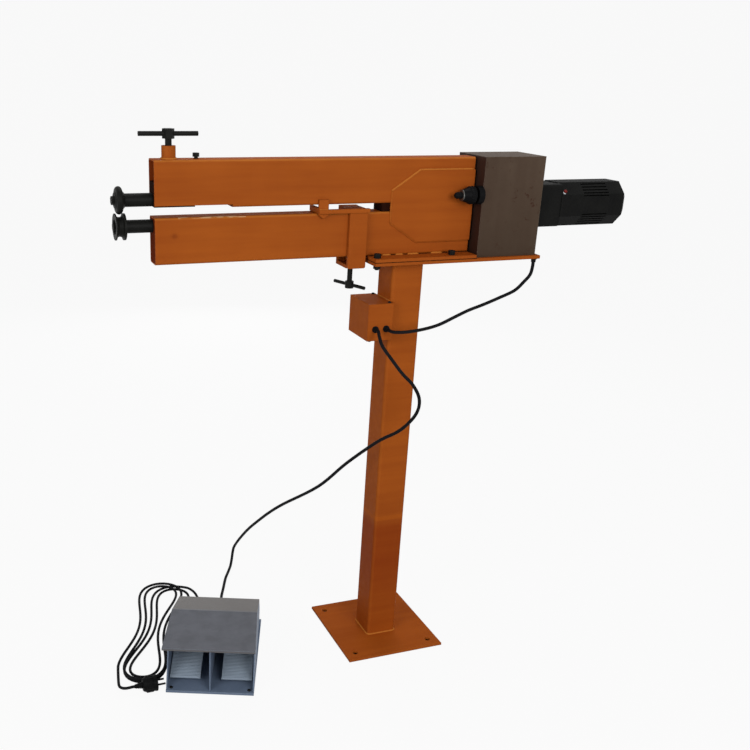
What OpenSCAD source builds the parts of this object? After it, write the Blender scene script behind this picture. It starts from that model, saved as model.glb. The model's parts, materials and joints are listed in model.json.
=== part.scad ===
// Motor-driven bead roller: a deep-throat head on a floor post, with a twin foot pedal.
// X runs along the beams with the rollers at -X and the motor at +X, -Y is the front, Z is up.
// The origin is the middle of the base plate's underside, and sizes are in millimetres.

/* [Stand] */
// Side of the square base plate
base_w = 265; // [220:5:320]
// Thickness of the base plate
base_t = 6; // [5:1:16]
// Distance of a floor bolt hole from the edges of the base plate
floor_hole_inset = 27.5; // [20:0.5:40]
// Diameter of the floor bolt holes
floor_hole_d = 14; // [10:1:18]
// Width of the square post tube
post_w = 80; // [70:5:100]
// Wall of the post tube
post_wall = 4; // [3:0.5:6]
// Length of the post tube
post_h = 1006; // [960:1:1100]

/* [Mounting plates] */
// Thickness of the post's top plate and of the frame's foot plate
plate_t = 8; // [6:1:14]
// Depth of both plates, front to back
plate_depth = 140; // [130:5:180]
// Reach of both plates to the left of the post's axis
plate_left = 100; // [95:1:110]
// Reach of the top plate past the gear cover
plate_lip = 9; // [4:1:20]
// Shank diameter of the foot plate bolts
foot_bolt_d = 10; // [8:1:14]
// Distance of the foot plate bolts from the plate's long edges
foot_bolt_inset = 18; // [14:1:22]

/* [Beams] */
// Reach of the beams' free ends from the post's axis
beam_reach = 596; // [500:1:700]
// Rear end of the beams from the post's axis
beam_tail = 160; // [155:1:170]
// Height of a beam tube
beam_h = 100; // [96:1:120]
// Depth of a beam tube
beam_d = 50; // [40:1:52]
// Wall of a beam tube
beam_wall = 3; // [2.5:0.5:3]
// Outer corner radius of a beam tube
beam_corner = 6; // [4:0.5:8]
// Gap between the beams
throat_gap = 19; // [18:0.5:24]
// Front end of the throat spacer from the post's axis
throat_stop = 70; // [60:1:80]
// Thickness of the two throat gussets
gusset_t = 4; // [3:0.5:4]
// Length of the cut in the upper beam's underside, from its free end
slot_len = 171; // [150:1:200]

/* [Shafts and rollers] */
// Diameter of both roller shafts
shaft_d = 20; // [19:0.5:20]
// Diameter of the shafts' thick noses
nose_d = 28; // [25:1:32]
// Reach of the noses from the beams to the rollers
nose_len = 59; // [40:1:80]
// Outer diameter of the bronze bushes
bush_d = 23; // [22.5:0.5:23]
// Depth of the lower shaft's axis under the lower beam's top
axis_drop = 19; // [18.5:0.5:19.5]
// Module of the two shaft gears
gear_module = 2.5; // [2.5:0.5:2.5]
// Teeth of each shaft gear
gear_teeth = 22; // [22:1:22]
// Face width of the shaft gears
gear_w = 20; // [14:1:24]
// Diameter over the upper roller's bead
upper_roller_d = 58; // [54:1:60]
// Diameter of the lower roller's lips
lower_roller_d = 56; // [50:1:56]
// Width of both rollers
roller_w = 22; // [20:1:30]

/* [Pressure screw] */
// Distance of the pressure screw from the upper beam's free end
screw_inset = 37; // [30:1:60]
// Diameter of the pressure screw
screw_d = 14; // [12:1:16]
// Height of the welded screw boss
boss_h = 27; // [18:1:32]
// Length of the pressure screw's cross bar
screw_bar_len = 127; // [100:1:150]
// Diameter of the cross bar
screw_bar_d = 10; // [8:0.5:11]

/* [Fence] */
// Left side of the fence clamp from the post's axis
fence_x = 153; // [150:1:160]
// Width of the fence clamp's strap
fence_w = 44; // [30:1:44]
// Thickness of the fence clamp's plates
fence_t = 8; // [6:1:9]
// Reach of the stop to the left of the clamp
fence_reach = 75; // [50:1:100]
// Diameter of the clamp screw
clamp_screw_d = 12; // [10:1:12]
// Length of the clamp screw's cross bar
clamp_bar_len = 98; // [70:1:100]

/* [Gear cover] */
// Gap from the beams' rear ends to the gear cover
cover_gap = 6; // [4:1:8]
// Length of the gear cover
cover_len = 160; // [156:1:170]
// Depth of the gear cover, front to back
cover_depth = 120; // [114:1:130]
// Height of the gear cover
cover_h = 230; // [225:1:260]
// Sheet thickness of the gear cover
cover_t = 2; // [1.5:0.5:3]

/* [Gearmotor] */
// Thickness of the plate that carries the gearmotor
motor_plate_t = 10; // [8:1:12]
// Side of the square gearbox case
gearbox_w = 100; // [98:1:110]
// Length of the gearbox case
gearbox_len = 64; // [62:1:90]
// Module of the gears in the gearbox
box_module = 0.7; // [0.7:0.1:0.7]
// Teeth of the small gears in the gearbox
small_teeth = 14; // [14:1:14]
// Teeth of the large gears in the gearbox
large_teeth = 56; // [56:1:56]
// Width over the motor's fins
motor_w = 104; // [100:1:110]
// Length of the motor's finned housing
motor_len = 135; // [130:1:160]
// Length of the fan cowl
cowl_len = 57; // [50:1:70]

/* [Control box] */
// Reach of the control box from the post
box_reach = 62; // [60:1:80]
// Width of the control box along the post's side
box_w = 106; // [100:1:120]
// Height of the control box
box_h = 88; // [80:1:110]
// Drop from the post's top plate to the control box
box_drop = 91; // [70:1:130]
// Wall of the control box
box_t = 2; // [1.5:0.5:3]

/* [Foot pedal] */
// Width of the pedal's base at its front
pedal_w = 214; // [206:1:240]
// Extra width of the pedal's base at its back
pedal_flare = 10; // [0:1:20]
// Depth of the pedal's base
pedal_depth = 325; // [310:1:340]
// Thickness of the pedal's base
pedal_base_t = 6; // [4:1:7]
// Height of the pedal's hood above the floor
hood_h = 150; // [140:1:165]
// Sheet thickness of the pedal's hood, sides and divider
hood_t = 3; // [2:0.5:4]
// Width of one treadle
treadle_w = 75; // [60:1:76]
// Diameter of the treadle pin
treadle_pin_d = 10; // [8:1:11]

/* [Cords] */
// Diameter of the motor cable and the pedal cable
cable_d = 8; // [7:0.5:9]
// Diameter of the mains lead
lead_d = 7; // [6:0.25:7]

/* [Hidden] */
$fn = 64;

orange = "#9a4e1a";
steel = "#6d6257";
black = "#1e1e20";
bright = "#b4b6b8";
bronze = "#a8803c";
grey = "#6f7682";

// Clearances
run_gap = 0.05;
seat_gap = 0.05;
slip = 0.2;
face_gap = 0.3;
hole_gap = 0.5;
cut = 1;

// Heights of the stand and head
z_plate = base_t + post_h;
z_foot = z_plate + plate_t;
z_lower = z_foot + plate_t;
z_throat = z_lower + beam_h;
z_upper = z_throat + throat_gap;
z_top = z_upper + beam_h;
z_low_axis = z_throat - axis_drop;
axis_spacing = gear_module * gear_teeth;
z_up_axis = z_low_axis + axis_spacing;

// Lengths along the beams
x_free = -beam_reach;
x_roller = x_free - nose_len;
x_screw = x_free + screw_inset;
x_cover0 = beam_tail + cover_gap;
x_cover1 = x_cover0 + cover_len;
x_plate1 = x_cover1 + plate_lip;
gear_inset = 4;
x_gear = x_cover0 + cover_t + gear_inset;
inner_d = beam_d - 2 * beam_wall;
inner_h = beam_h - 2 * beam_wall;
inner_corner = max(beam_corner - beam_wall, 0.5);
beam_mid_low = z_lower + beam_h / 2;
beam_mid_up = z_upper + beam_h / 2;

// Bearing blocks
block_inset = 0;
front_block_len = 40;
rear_block_len = 40;
rear_block_inset = 8;
thrust_gap = face_gap;

// Swinging carriage in the upper beam
carriage_side_gap = 0.5;
carriage_w = inner_d - 2 * carriage_side_gap;
bar_rise = 17;
bar_h = 20;
z_bar = z_up_axis + bar_rise;
z_bar_top = z_bar + bar_h;
carriage_front_len = 88;
front_skirt = 14;
rear_skirt = bush_d / 2 + 1;
carriage_rear_len = 48;
rear_relief = 2;
carriage_rear_inset = 12;
pivot_d = 12;
pivot_inset = 20;
x_pivot = beam_tail - pivot_inset;
z_pivot = z_bar + bar_h / 2;
lift_bolt_d = 8;
lift_bolt_inset = 96;
x_lift = x_free + lift_bolt_inset;
lift_free = 4;

// Foot plate bolts
foot_bolt_left = 12;
foot_bolt_right = 57;
foot_bolt_xs = [foot_bolt_left - plate_left, beam_tail - foot_bolt_right];
foot_bolt_y = plate_depth / 2 - foot_bolt_inset;

// Gearmotor
box_cd = box_module * (small_teeth + large_teeth) / 2;
z_motor = z_low_axis + box_cd;
lay_y = box_cd * sin(60);
lay_z = z_low_axis + box_cd / 2;
x_motor_plate = x_cover1 - cover_t - motor_plate_t;
x_case = x_cover1;
x_motor = x_case + gearbox_len;
x_cowl = x_motor + motor_len;
case_wall = 4;
output_x = x_case + 8;
output_w = 12;
stage_gap = 6;
first_x = output_x + output_w + stage_gap;
first_w = 10;
pinion_lap = 2;
lay_d = 8;
lay_seat = 8;
rotor_d = 12;
motor_bore = 84;
stator_len = 90;
stator_inset = 23;
air_gap = 1;
rotor_core_d = 56;
end_shield = 6;

// Selector switch on the gear cover's left wall
selector_in = 9;
selector_y = selector_in - cover_depth / 2;
selector_z = z_up_axis;
selector_stem = 12;
selector_pivot = 12;

// Control box
box_mid_y = -4;
box_x1 = -post_w / 2;
box_x0 = box_x1 - box_reach;
box_y0 = box_mid_y - box_w / 2;
box_z = z_plate - box_drop - box_h;
gland_z = 28;
gland_in = 17.5;
gland_pitch = 28;
lid_t = 2;

// Cable glands
grommet_len = 10;
grommet_d = 16;
relief_len = 24;
relief_d = 20;
gland_tip = 3;
plate_gland_x = 0;
plate_gland_y = 12;

// Foot pedal, in its own frame with the origin under the middle of its front edge
pedal_x = -510;
pedal_y = -149;
pedal_yaw = -21;
hood_front = -35;
hood_bend = 132;
hood_back = 285;
hood_drop = 56;
hood_flare = 3;
hood_lip = 6;
back_rise = 42;
side_slope = 66;
divider_front = 5;
treadle_front = 32;
treadle_front_z = 23;
pin_y = 235;
pin_z = 75;
treadle_t = 4;
treadle_side = 3;
treadle_slot = pedal_w / 2 - hood_t - treadle_side - treadle_w;
treadle_len = norm([pin_y - treadle_front, pin_z - treadle_front_z]);
treadle_tilt = atan2(pin_z - treadle_front_z, pin_y - treadle_front);
lug_d = 18;
lug_w = 12;
rib_count = 28;
rib_pitch = 4.5;
rib_w = 2.2;
rib_h = 1;
plate_back = 16;
lug_lap = 6;
pedal_gland_z = 20;
cable_gland_x = 15;
lead_gland_x = -70;
spring_turns = 5;
spring_rings = 16;
spring_wire = 2;
spring_r = treadle_pin_d / 2 + spring_wire / 2 + face_gap;
spring_pitch = 3.2;

// Cable routes: points chosen by eye between each cable's two ends
motor_route = [
  [322, -58, 972], [306, -58, 954], [277, -66, 936], [232, -72, 922], [188, -76, 909],
  [145, -80, 898], [103, -87, 885], [62, -95, 873], [20, -102, 867], [-24, -105, 864],
  [-47, -96, 862], [-55, -85, 861]
];
pedal_route = [
  [-88, -88, 853], [-88, -107, 835], [-74, -128, 810], [-53, -146, 779], [-29, -158, 752],
  [-13, -163, 721], [-9, -155, 687], [-18, -139, 654], [-38, -118, 622], [-74, -87, 588],
  [-121, -22, 511], [-163, 54, 418], [-211, 176, 317], [-230, 233, 267], [-243, 287, 217],
  [-254, 344, 163], [-262, 397, 107], [-266, 438, 60], [-268, 448, 37], [-274, 440, 14],
  [-285, 417, 5.5], [-302, 385, 5], [-320, 352, 4.5], [-342, 301, 4.5], [-362, 253, 4.5],
  [-362, 228, 8], [-364, 203, 16]
];
lead_route = [
  [-442, 220, 18], [-432, 247, 9], [-426, 276, 4], [-428, 306, 4], [-438, 331, 4]
];

// Folded hank of the mains lead, fanned about its near end, and its tail to the plug
hank_x = -655;
hank_y = -44;
hank_angle = 64.5;
hank_fan = 5;
hank_half = 207;
hank_waist = 12;
hank_lobe = 75;
hank_step = 15;
hank_loops = 3.42;
hank_mid = 1.5;
hank_rings = 24;
hank_floor = 0.5;
layer_gap = 0.6;
hank_tail = [
  [-711, -34, 11.2], [-715, -63, 11], [-713.2, -75.4, 12.4], [-707.6, -84.4, 14.8], [-699.4, -90, 17.4]
];
plug_x = -682;
plug_y = -92;
plug_z = 19.5;
plug_d = 38;
plug_len = 35;
plug_relief = 20;
pin_d = 4.8;
pin_len = 19;
pin_pitch = 19;

// Helpers

// A rectangle with round corners, centred
module round_rect(w, h, r) {
  square([w - 2 * r, h], center = true);
  square([w, h - 2 * r], center = true);
  for (i = [-1, 1], j = [-1, 1])
    translate([i * (w / 2 - r), j * (h / 2 - r)]) circle(r);
}

// Runs a YZ outline along X
module along_x(x0, x1) {
  translate([x0, 0, 0]) rotate([90, 0, 90]) linear_extrude(x1 - x0) children();
}

// A round bar along X
module bar_x(d, x0, x1, y, z) {
  translate([x0, y, z]) rotate([0, 90, 0]) cylinder(d = d, h = x1 - x0);
}

// A box given by two corners
module block(a, b) {
  translate(a) cube(b - a);
}

// One tooth flank pair of a gear as polar points, root to tip and back
function tooth(m, n, slack, at) =
  let (
    rp = m * n / 2,
    ra = rp + 0.8 * m,
    rr = rp - 1.25 * m,
    hp = (PI * m / 2 - slack) / 2 / rp * 180 / PI,
    ha = hp - 0.8 * m * tan(24) / rp * 180 / PI,
    hr = hp + 1.25 * m * tan(12) / rp * 180 / PI
  )
  [for (q = [[rr, -hr], [rp, -hp], [ra, -ha], [ra, ha], [rp, hp], [rr, hr]])
    [q[0] * cos(at + q[1]), q[0] * sin(at + q[1])]];

// Outline of a gear with a tooth at angle 0
module gear_outline(m, n, slack) {
  polygon([for (i = [0 : n - 1]) each tooth(m, n, slack, i * 360 / n)]);
}

// A hexagon bolt head or nut, across flats
module hex(af, h) {
  cylinder(d = af / cos(30), h = h, $fn = 6);
}

// A smooth line through the points, with steps between each pair
function smooth(p, steps) =
  let (n = len(p))
  concat(
    [for (i = [0 : n - 2], k = [0 : steps - 1])
      let (
        t = k / steps,
        a = p[max(i - 1, 0)],
        b = p[i],
        c = p[i + 1],
        d = p[min(i + 2, n - 1)]
      )
      0.5 * (2 * b + (c - a) * t + (2 * a - 5 * b + 4 * c - d) * t * t
        + (3 * b - a - 3 * c + d) * t * t * t)],
    [p[n - 1]]
  );

function unit(v) = v / norm(v);

// A smooth line from one tip to another, straight for one diameter at both ends
function cord_line(tip0, out0, route, tip1, out1, d, steps) =
  concat([tip0], smooth(concat([tip0 + d * out0], route, [tip1 + d * out1]), steps), [tip1]);

// A round tube along the points, with flat ends
module tube(p, d, sides) {
  n = len(p);
  t = [for (i = [0 : n - 1]) unit(p[min(i + 1, n - 1)] - p[max(i - 1, 0)])];
  first = abs(t[0][2]) > 0.9 ? [1, 0, 0] : [0, 0, 1];
  side = [for (i = 0, s = unit(first - (first * t[0]) * t[0]); i < n;
    i = i + 1, s = i < n ? unit(s - (s * t[i]) * t[i]) : s) s];
  rings = [for (i = [0 : n - 1], k = [0 : sides - 1])
    p[i] + d / 2 * (cos(360 * k / sides) * side[i] + sin(360 * k / sides) * cross(t[i], side[i]))];
  skin = [for (i = [0 : n - 2], k = [0 : sides - 1])
    let (a = i * sides + k, b = i * sides + (k + 1) % sides)
    each [[a, a + sides, b], [b, a + sides, b + sides]]];
  last = (n - 1) * sides;
  caps = [for (k = [1 : sides - 2]) each [[0, k, k + 1], [last, last + k + 1, last + k]]];
  polyhedron(points = rings, faces = concat(skin, caps));
}

// A flanged, tapered cable entry, from a wall at the origin out along +Z
module cable_entry(len, d, cord) {
  flange = len / 4;
  cylinder(d = d, h = flange);
  translate([0, 0, flange]) cylinder(d1 = d - 4, d2 = cord + gland_tip, h = len - flange);
}

module at_pedal() {
  translate([pedal_x, pedal_y, 0]) rotate([0, 0, pedal_yaw]) children();
}

function from_pedal(q) =
  [pedal_x + q[0] * cos(pedal_yaw) - q[1] * sin(pedal_yaw),
   pedal_y + q[0] * sin(pedal_yaw) + q[1] * cos(pedal_yaw), q[2]];

// Stand

module base_plate() {
  color(orange) difference() {
    translate([0, 0, base_t / 2]) cube([base_w, base_w, base_t], center = true);
    for (i = [-1, 1], j = [-1, 1])
      translate([i, j, 0] * (base_w / 2 - floor_hole_inset) - [0, 0, cut])
        cylinder(d = floor_hole_d, h = base_t + 2 * cut);
  }
}

module post_tube() {
  color(orange) translate([0, 0, base_t]) linear_extrude(post_h) difference() {
    round_rect(post_w, post_w, 2 * post_wall);
    round_rect(post_w - 2 * post_wall, post_w - 2 * post_wall, post_wall);
  }
}

cover_tab = [30, 3, 18];
cover_tab_inset = 24;
tab_xs = [x_cover0 + cover_tab_inset, x_cover1 - cover_tab_inset];
plate_gland_at = [x_cover1 - plate_gland_x, plate_gland_y - plate_depth / 2, z_plate];

module foot_bolt_holes(z) {
  for (x = foot_bolt_xs, j = [-1, 1])
    translate([x, j * foot_bolt_y, z - cut])
      cylinder(d = foot_bolt_d + 2 * hole_gap, h = plate_t + 2 * cut);
}

module post_top_plate() {
  color(orange) {
    difference() {
      block([-plate_left, -plate_depth / 2, z_plate], [x_plate1, plate_depth / 2, z_foot]);
      foot_bolt_holes(z_plate);
    }
    for (x = tab_xs)
      translate([x - cover_tab[0] / 2, cover_depth / 2 - cover_t - cover_tab[1], z_foot]) cube(cover_tab);
  }
}

module frame_foot_plate() {
  color(orange) difference() {
    block([-plate_left, -plate_depth / 2, z_foot], [beam_tail, plate_depth / 2, z_lower]);
    foot_bolt_holes(z_foot);
  }
}

module foot_plate_bolts() {
  head_d = 1.6 * foot_bolt_d;
  socket = 0.8 * foot_bolt_d;
  nut = 0.8 * foot_bolt_d;
  end = nut + 3;
  color(black) for (x = foot_bolt_xs, j = [-1, 1]) translate([x, j * foot_bolt_y, 0]) {
    through = x < 0 ? end : 0;
    translate([0, 0, z_lower]) difference() {
      cylinder(d = head_d, h = foot_bolt_d);
      translate([0, 0, foot_bolt_d / 2]) hex(socket, foot_bolt_d);
    }
    translate([0, 0, z_plate - through]) cylinder(d = foot_bolt_d, h = z_lower - z_plate + through);
    if (through > 0) translate([0, 0, z_plate - nut]) hex(1.6 * foot_bolt_d, nut);
  }
}

// Frame head

module beam_outline(z) {
  translate([0, z]) difference() {
    round_rect(beam_d, beam_h, beam_corner);
    round_rect(inner_d, inner_h, inner_corner);
  }
}

module lower_beam() {
  color(orange) along_x(x_free, beam_tail) beam_outline(beam_mid_low);
}

module upper_beam() {
  color(orange) difference() {
    along_x(x_free, beam_tail) beam_outline(beam_mid_up);
    block([x_free - cut, -beam_d, z_upper - cut],
      [x_free + slot_len, beam_d, z_upper + beam_wall + inner_corner]);
    translate([x_screw, 0, z_top - beam_wall - cut])
      cylinder(d = screw_d + 2 * hole_gap, h = beam_wall + 2 * cut);
    translate([x_lift, 0, z_top - beam_wall - cut])
      cylinder(d = lift_bolt_d + 4 * hole_gap, h = beam_wall + 2 * cut);
    translate([x_pivot, beam_d, z_pivot]) rotate([90, 0, 0])
      cylinder(d = pivot_d + 2 * seat_gap, h = 2 * beam_d);
  }
}

module throat_spacer() {
  color(orange)
    block([-throat_stop, beam_wall - beam_d / 2, z_throat], [beam_tail, beam_d / 2 - beam_wall, z_upper]);
}

gusset_left = 48;
gusset_chamfer = [68, 45];
gusset_low = 29;
gusset_high = 28;

module gusset_outline() {
  x0 = -gusset_left;
  z0 = z_lower + gusset_low;
  z1 = z_top - gusset_high;
  polygon([
    [x0 + gusset_chamfer[0], z0], [beam_tail, z0], [beam_tail, z1], [x0 + gusset_chamfer[0], z1],
    [x0, z1 - gusset_chamfer[1]], [x0, z0 + gusset_chamfer[1]]
  ]);
}

module throat_gussets() {
  color(orange) for (j = [-1, 1])
    translate([0, j * (beam_d + gusset_t) / 2 + gusset_t / 2, 0]) rotate([90, 0, 0])
      linear_extrude(gusset_t) gusset_outline();
}

module lower_bearing_blocks() {
  w = inner_d - 2 * slip;
  h = inner_h - 2 * slip;
  x0 = x_free + block_inset;
  x1 = beam_tail - rear_block_inset - rear_block_len;
  color(orange) difference() {
    union() {
      along_x(x0, x0 + front_block_len) translate([0, beam_mid_low]) round_rect(w, h, inner_corner);
      along_x(x1, x1 + rear_block_len) translate([0, beam_mid_low]) round_rect(w, h, inner_corner);
    }
    bar_x(bush_d + 2 * seat_gap, x_free, beam_tail, 0, z_low_axis);
  }
}

module bush(x0, len, z) {
  difference() {
    bar_x(bush_d, x0, x0 + len, 0, z);
    bar_x(shaft_d + 2 * run_gap, x0 - cut, x0 + len + cut, 0, z);
  }
}

module lower_bushes() {
  color(bronze) {
    bush(x_free + block_inset, front_block_len, z_low_axis);
    bush(beam_tail - rear_block_inset - rear_block_len, rear_block_len, z_low_axis);
  }
}

boss_wall = 8;

module screw_boss() {
  color(orange) translate([x_screw, 0, z_top]) difference() {
    cylinder(d = screw_d + 2 * boss_wall, h = boss_h);
    translate([0, 0, -cut]) cylinder(d = screw_d + 2 * run_gap, h = boss_h + 2 * cut);
  }
}

module carriage_pivot() {
  color(bright) translate([x_pivot, beam_d / 2, z_pivot]) rotate([90, 0, 0])
    cylinder(d = pivot_d, h = beam_d);
}

// Swinging carriage and upper shaft

module swing_carriage() {
  x0 = x_free + block_inset;
  x1 = beam_tail - carriage_rear_inset;
  half = carriage_w / 2;
  rear_half = half - rear_relief;
  color(black) difference() {
    union() {
      block([x0, -half, z_bar], [x1, half, z_bar_top]);
      block([x0, -half, z_up_axis - front_skirt], [x0 + carriage_front_len, half, z_bar]);
      block([x1 - carriage_rear_len, -rear_half, z_up_axis - rear_skirt], [x1, rear_half, z_bar]);
    }
    bar_x(bush_d + 2 * seat_gap, x0 - cut, x1 + cut, 0, z_up_axis);
    translate([x_pivot, half + cut, z_pivot]) rotate([90, 0, 0])
      cylinder(d = pivot_d + 2 * run_gap, h = carriage_w + 2 * cut);
    translate([x_lift, 0, z_pivot]) cylinder(d = lift_bolt_d + 2 * seat_gap, h = bar_h);
  }
}

module carriage_bushes() {
  color(bronze) {
    bush(x_free + block_inset, carriage_front_len, z_up_axis);
    bush(beam_tail - carriage_rear_inset - carriage_rear_len, carriage_rear_len, z_up_axis);
  }
}

module lift_bolt() {
  color(black) translate([x_lift, 0, 0]) {
    translate([0, 0, z_pivot]) cylinder(d = lift_bolt_d, h = z_top + lift_free - z_pivot);
    translate([0, 0, z_top + lift_free]) hex(1.6 * lift_bolt_d, lift_bolt_d);
  }
}

roller_seat_d = 18;
roller_screw_d = 10;
seat_short = 6;
upper_recess = 3;
lower_recess = 5;
upper_end = x_gear + gear_w + 4;
lower_end = output_x + output_w + 2;

module roller_shaft(z, x_end) {
  shoulder = x_free + block_inset - thrust_gap;
  difference() {
    union() {
      bar_x(nose_d, x_roller, shoulder, 0, z);
      bar_x(shaft_d, shoulder, x_end, 0, z);
      bar_x(roller_seat_d, x_roller - roller_w + seat_short, x_roller, 0, z);
    }
    bar_x(roller_screw_d + 2 * seat_gap, x_roller - roller_w, x_roller + 8, 0, z);
  }
}

module upper_shaft() {
  color(black) roller_shaft(z_up_axis, upper_end);
}

module lower_shaft() {
  color(black) roller_shaft(z_low_axis, lower_end);
}

// Spins a half outline of axial length and radius about a roller's axis
module turned(z) {
  translate([x_roller, 0, z]) rotate([0, -90, 0]) rotate_extrude($fn = 96) children();
}

module upper_roller() {
  r = upper_roller_d / 2;
  bead = 7;
  flat = r - bead;
  color(black) turned(z_up_axis) difference() {
    union() {
      translate([roller_seat_d / 2 + seat_gap, 0]) square([nose_d / 2 + 1 - roller_seat_d / 2, roller_w]);
      polygon([[nose_d / 2 + 1, 0], [flat, 6], [flat, roller_w - 4], [nose_d / 2 + 1, roller_w]]);
      translate([roller_seat_d / 2 + seat_gap, roller_w / 2 - bead + 1])
        square([r - bead - roller_seat_d / 2, 2 * bead]);
      translate([r - bead, roller_w / 2 + 1]) circle(bead);
    }
    translate([0, roller_w - upper_recess]) square([roller_seat_d / 2 + 3, upper_recess + cut]);
  }
}

module lower_roller() {
  r = lower_roller_d / 2;
  groove = 7.5;
  color(black) turned(z_low_axis) difference() {
    translate([roller_seat_d / 2 + seat_gap, 0]) square([r - roller_seat_d / 2 - seat_gap, roller_w]);
    translate([r, roller_w / 2 + 1]) circle(groove);
    translate([0, roller_w - lower_recess]) square([roller_seat_d / 2 + 7, lower_recess + cut]);
  }
}

// Screw and washer that hold a roller on its shaft
module roller_screw(z, sink) {
  x0 = x_roller - roller_w + sink;
  bar_x(roller_screw_d, x0, x_roller + 6, 0, z);
  bar_x(roller_seat_d + 4, x0 - 2, x0, 0, z);
  translate([x0 - 2, 0, z]) rotate([0, -90, 0]) hex(1.6 * roller_screw_d, 7);
}

module upper_roller_screw() {
  color(black) roller_screw(z_up_axis, upper_recess);
}

module lower_roller_screw() {
  color(black) roller_screw(z_low_axis, lower_recess);
}

gear_slack = 0.7;

module shaft_gear(z, turn) {
  along_x(x_gear, x_gear + gear_w) translate([0, z]) difference() {
    rotate(turn) gear_outline(gear_module, gear_teeth, gear_slack);
    circle(shaft_d / 2 + seat_gap);
  }
}

module lower_gear() {
  color(steel) shaft_gear(z_low_axis, 90);
}

module upper_gear() {
  color(steel) shaft_gear(z_up_axis, 180 / gear_teeth - 90);
}

// Pressure screw

pad_d = 20;
pad_h = 10;
nose_pin_d = 10;
nose_pin_h = 6;
hub_af = 23;
hub_h = 20;
neck_h = 14;
z_pad = z_bar_top + face_gap;
z_hub = z_top + boss_h + neck_h;

module pressure_pad() {
  color(black) translate([x_screw, 0, z_pad]) difference() {
    cylinder(d = pad_d, h = pad_h);
    translate([0, 0, pad_h - nose_pin_h]) cylinder(d = nose_pin_d + 2 * run_gap, h = nose_pin_h + cut);
  }
}

module pressure_screw() {
  z0 = z_pad + pad_h + face_gap;
  color(black) translate([x_screw, 0, 0]) {
    translate([0, 0, z0 - nose_pin_h + face_gap]) cylinder(d = nose_pin_d, h = nose_pin_h);
    translate([0, 0, z0]) cylinder(d = screw_d, h = z_hub - z0);
    translate([0, 0, z_hub]) hex(hub_af, hub_h);
    translate([-screw_bar_len / 2, 0, z_hub + hub_h / 2]) rotate([0, 90, 0])
      cylinder(d = screw_bar_d, h = screw_bar_len);
  }
}

// Fence

fence_gap = 1;
fence_seat = z_throat + face_gap;
tongue_h = 12;
fence_drop = 18;
strap_y = -beam_d / 2 - fence_gap;
z_clamp = z_lower - fence_drop;
fence_mid = -fence_x + fence_w / 2;
stop_h = 42;
stop_drop = 11;
stop_w = 23;
stop_point = 9;
stop_t = 6;
guide_h = 9;
guide_w = 10;
guide_end = 4;
clamp_pad_h = 6;

module fence_bracket() {
  x0 = -fence_x;
  x1 = x0 + fence_w;
  stop_x = x0 - fence_reach;
  y1 = beam_d / 2;
  strap_z0 = z_clamp - fence_t;
  strap_z1 = fence_seat + guide_h;
  color(orange) difference() {
    union() {
      translate([fence_mid, strap_y, (strap_z0 + strap_z1) / 2]) rotate([90, 0, 0])
        linear_extrude(fence_t) round_rect(fence_w, strap_z1 - strap_z0, 4);
      block([x0, strap_y, fence_seat], [x1, y1 + fence_gap + cut, fence_seat + fence_t]);
      block([x0, strap_y, strap_z0], [x1, y1 + fence_gap + fence_t, z_clamp]);
      block([x0, y1 + fence_gap, strap_z0], [x1, y1 + fence_gap + fence_t, strap_z1]);
      block([stop_x, strap_y - guide_w, fence_seat], [x1 + guide_end, strap_y, strap_z1]);
      translate([stop_x, strap_y, z_throat - stop_drop]) rotate([90, 0, 0]) linear_extrude(stop_t)
        polygon([[0, stop_point], [stop_w / 2, 0], [stop_w, stop_point], [stop_w, stop_h], [0, stop_h]]);
      block([stop_x, strap_y - stop_t, fence_seat], [stop_x + fence_t, y1, fence_seat + tongue_h]);
    }
    translate([fence_mid, 0, strap_z0 - cut])
      cylinder(d = clamp_screw_d + 2 * run_gap, h = fence_t + 2 * cut);
  }
}

module fence_pad() {
  color(black) translate([fence_mid, 0, z_lower - slip - clamp_pad_h]) difference() {
    cylinder(d = 2 * clamp_screw_d, h = clamp_pad_h);
    translate([0, 0, -cut]) cylinder(d = clamp_screw_d - 4 + 2 * run_gap, h = clamp_pad_h - 2 + cut);
  }
}

clamp_hub_d = 20;
clamp_hub_h = 16;
clamp_drop = 36;
clamp_bar_turn = -69;

module fence_screw() {
  z1 = z_lower - slip - clamp_pad_h - face_gap;
  z0 = z_clamp - fence_t - clamp_drop;
  color(black) translate([fence_mid, 0, 0]) {
    translate([0, 0, z1]) cylinder(d = clamp_screw_d - 4, h = clamp_pad_h - 2);
    translate([0, 0, z0]) cylinder(d = clamp_screw_d, h = z1 - z0);
    translate([0, 0, z0 - clamp_hub_h]) cylinder(d = clamp_hub_d, h = clamp_hub_h);
    translate([0, 0, z0 - clamp_hub_h / 2]) rotate([0, 90, clamp_bar_turn])
      translate([0, 0, -clamp_bar_len / 2]) cylinder(d = clamp_screw_d - 4, h = clamp_bar_len);
  }
}

// Gear cover and gearmotor

window_w = gearbox_w - 2 * case_wall - 4;
slot_w = shaft_d + 12;
screw_head_d = 9;
screw_head_h = 3;
panel_screw_d = 5;
cover_screw_z = 8;

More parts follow.
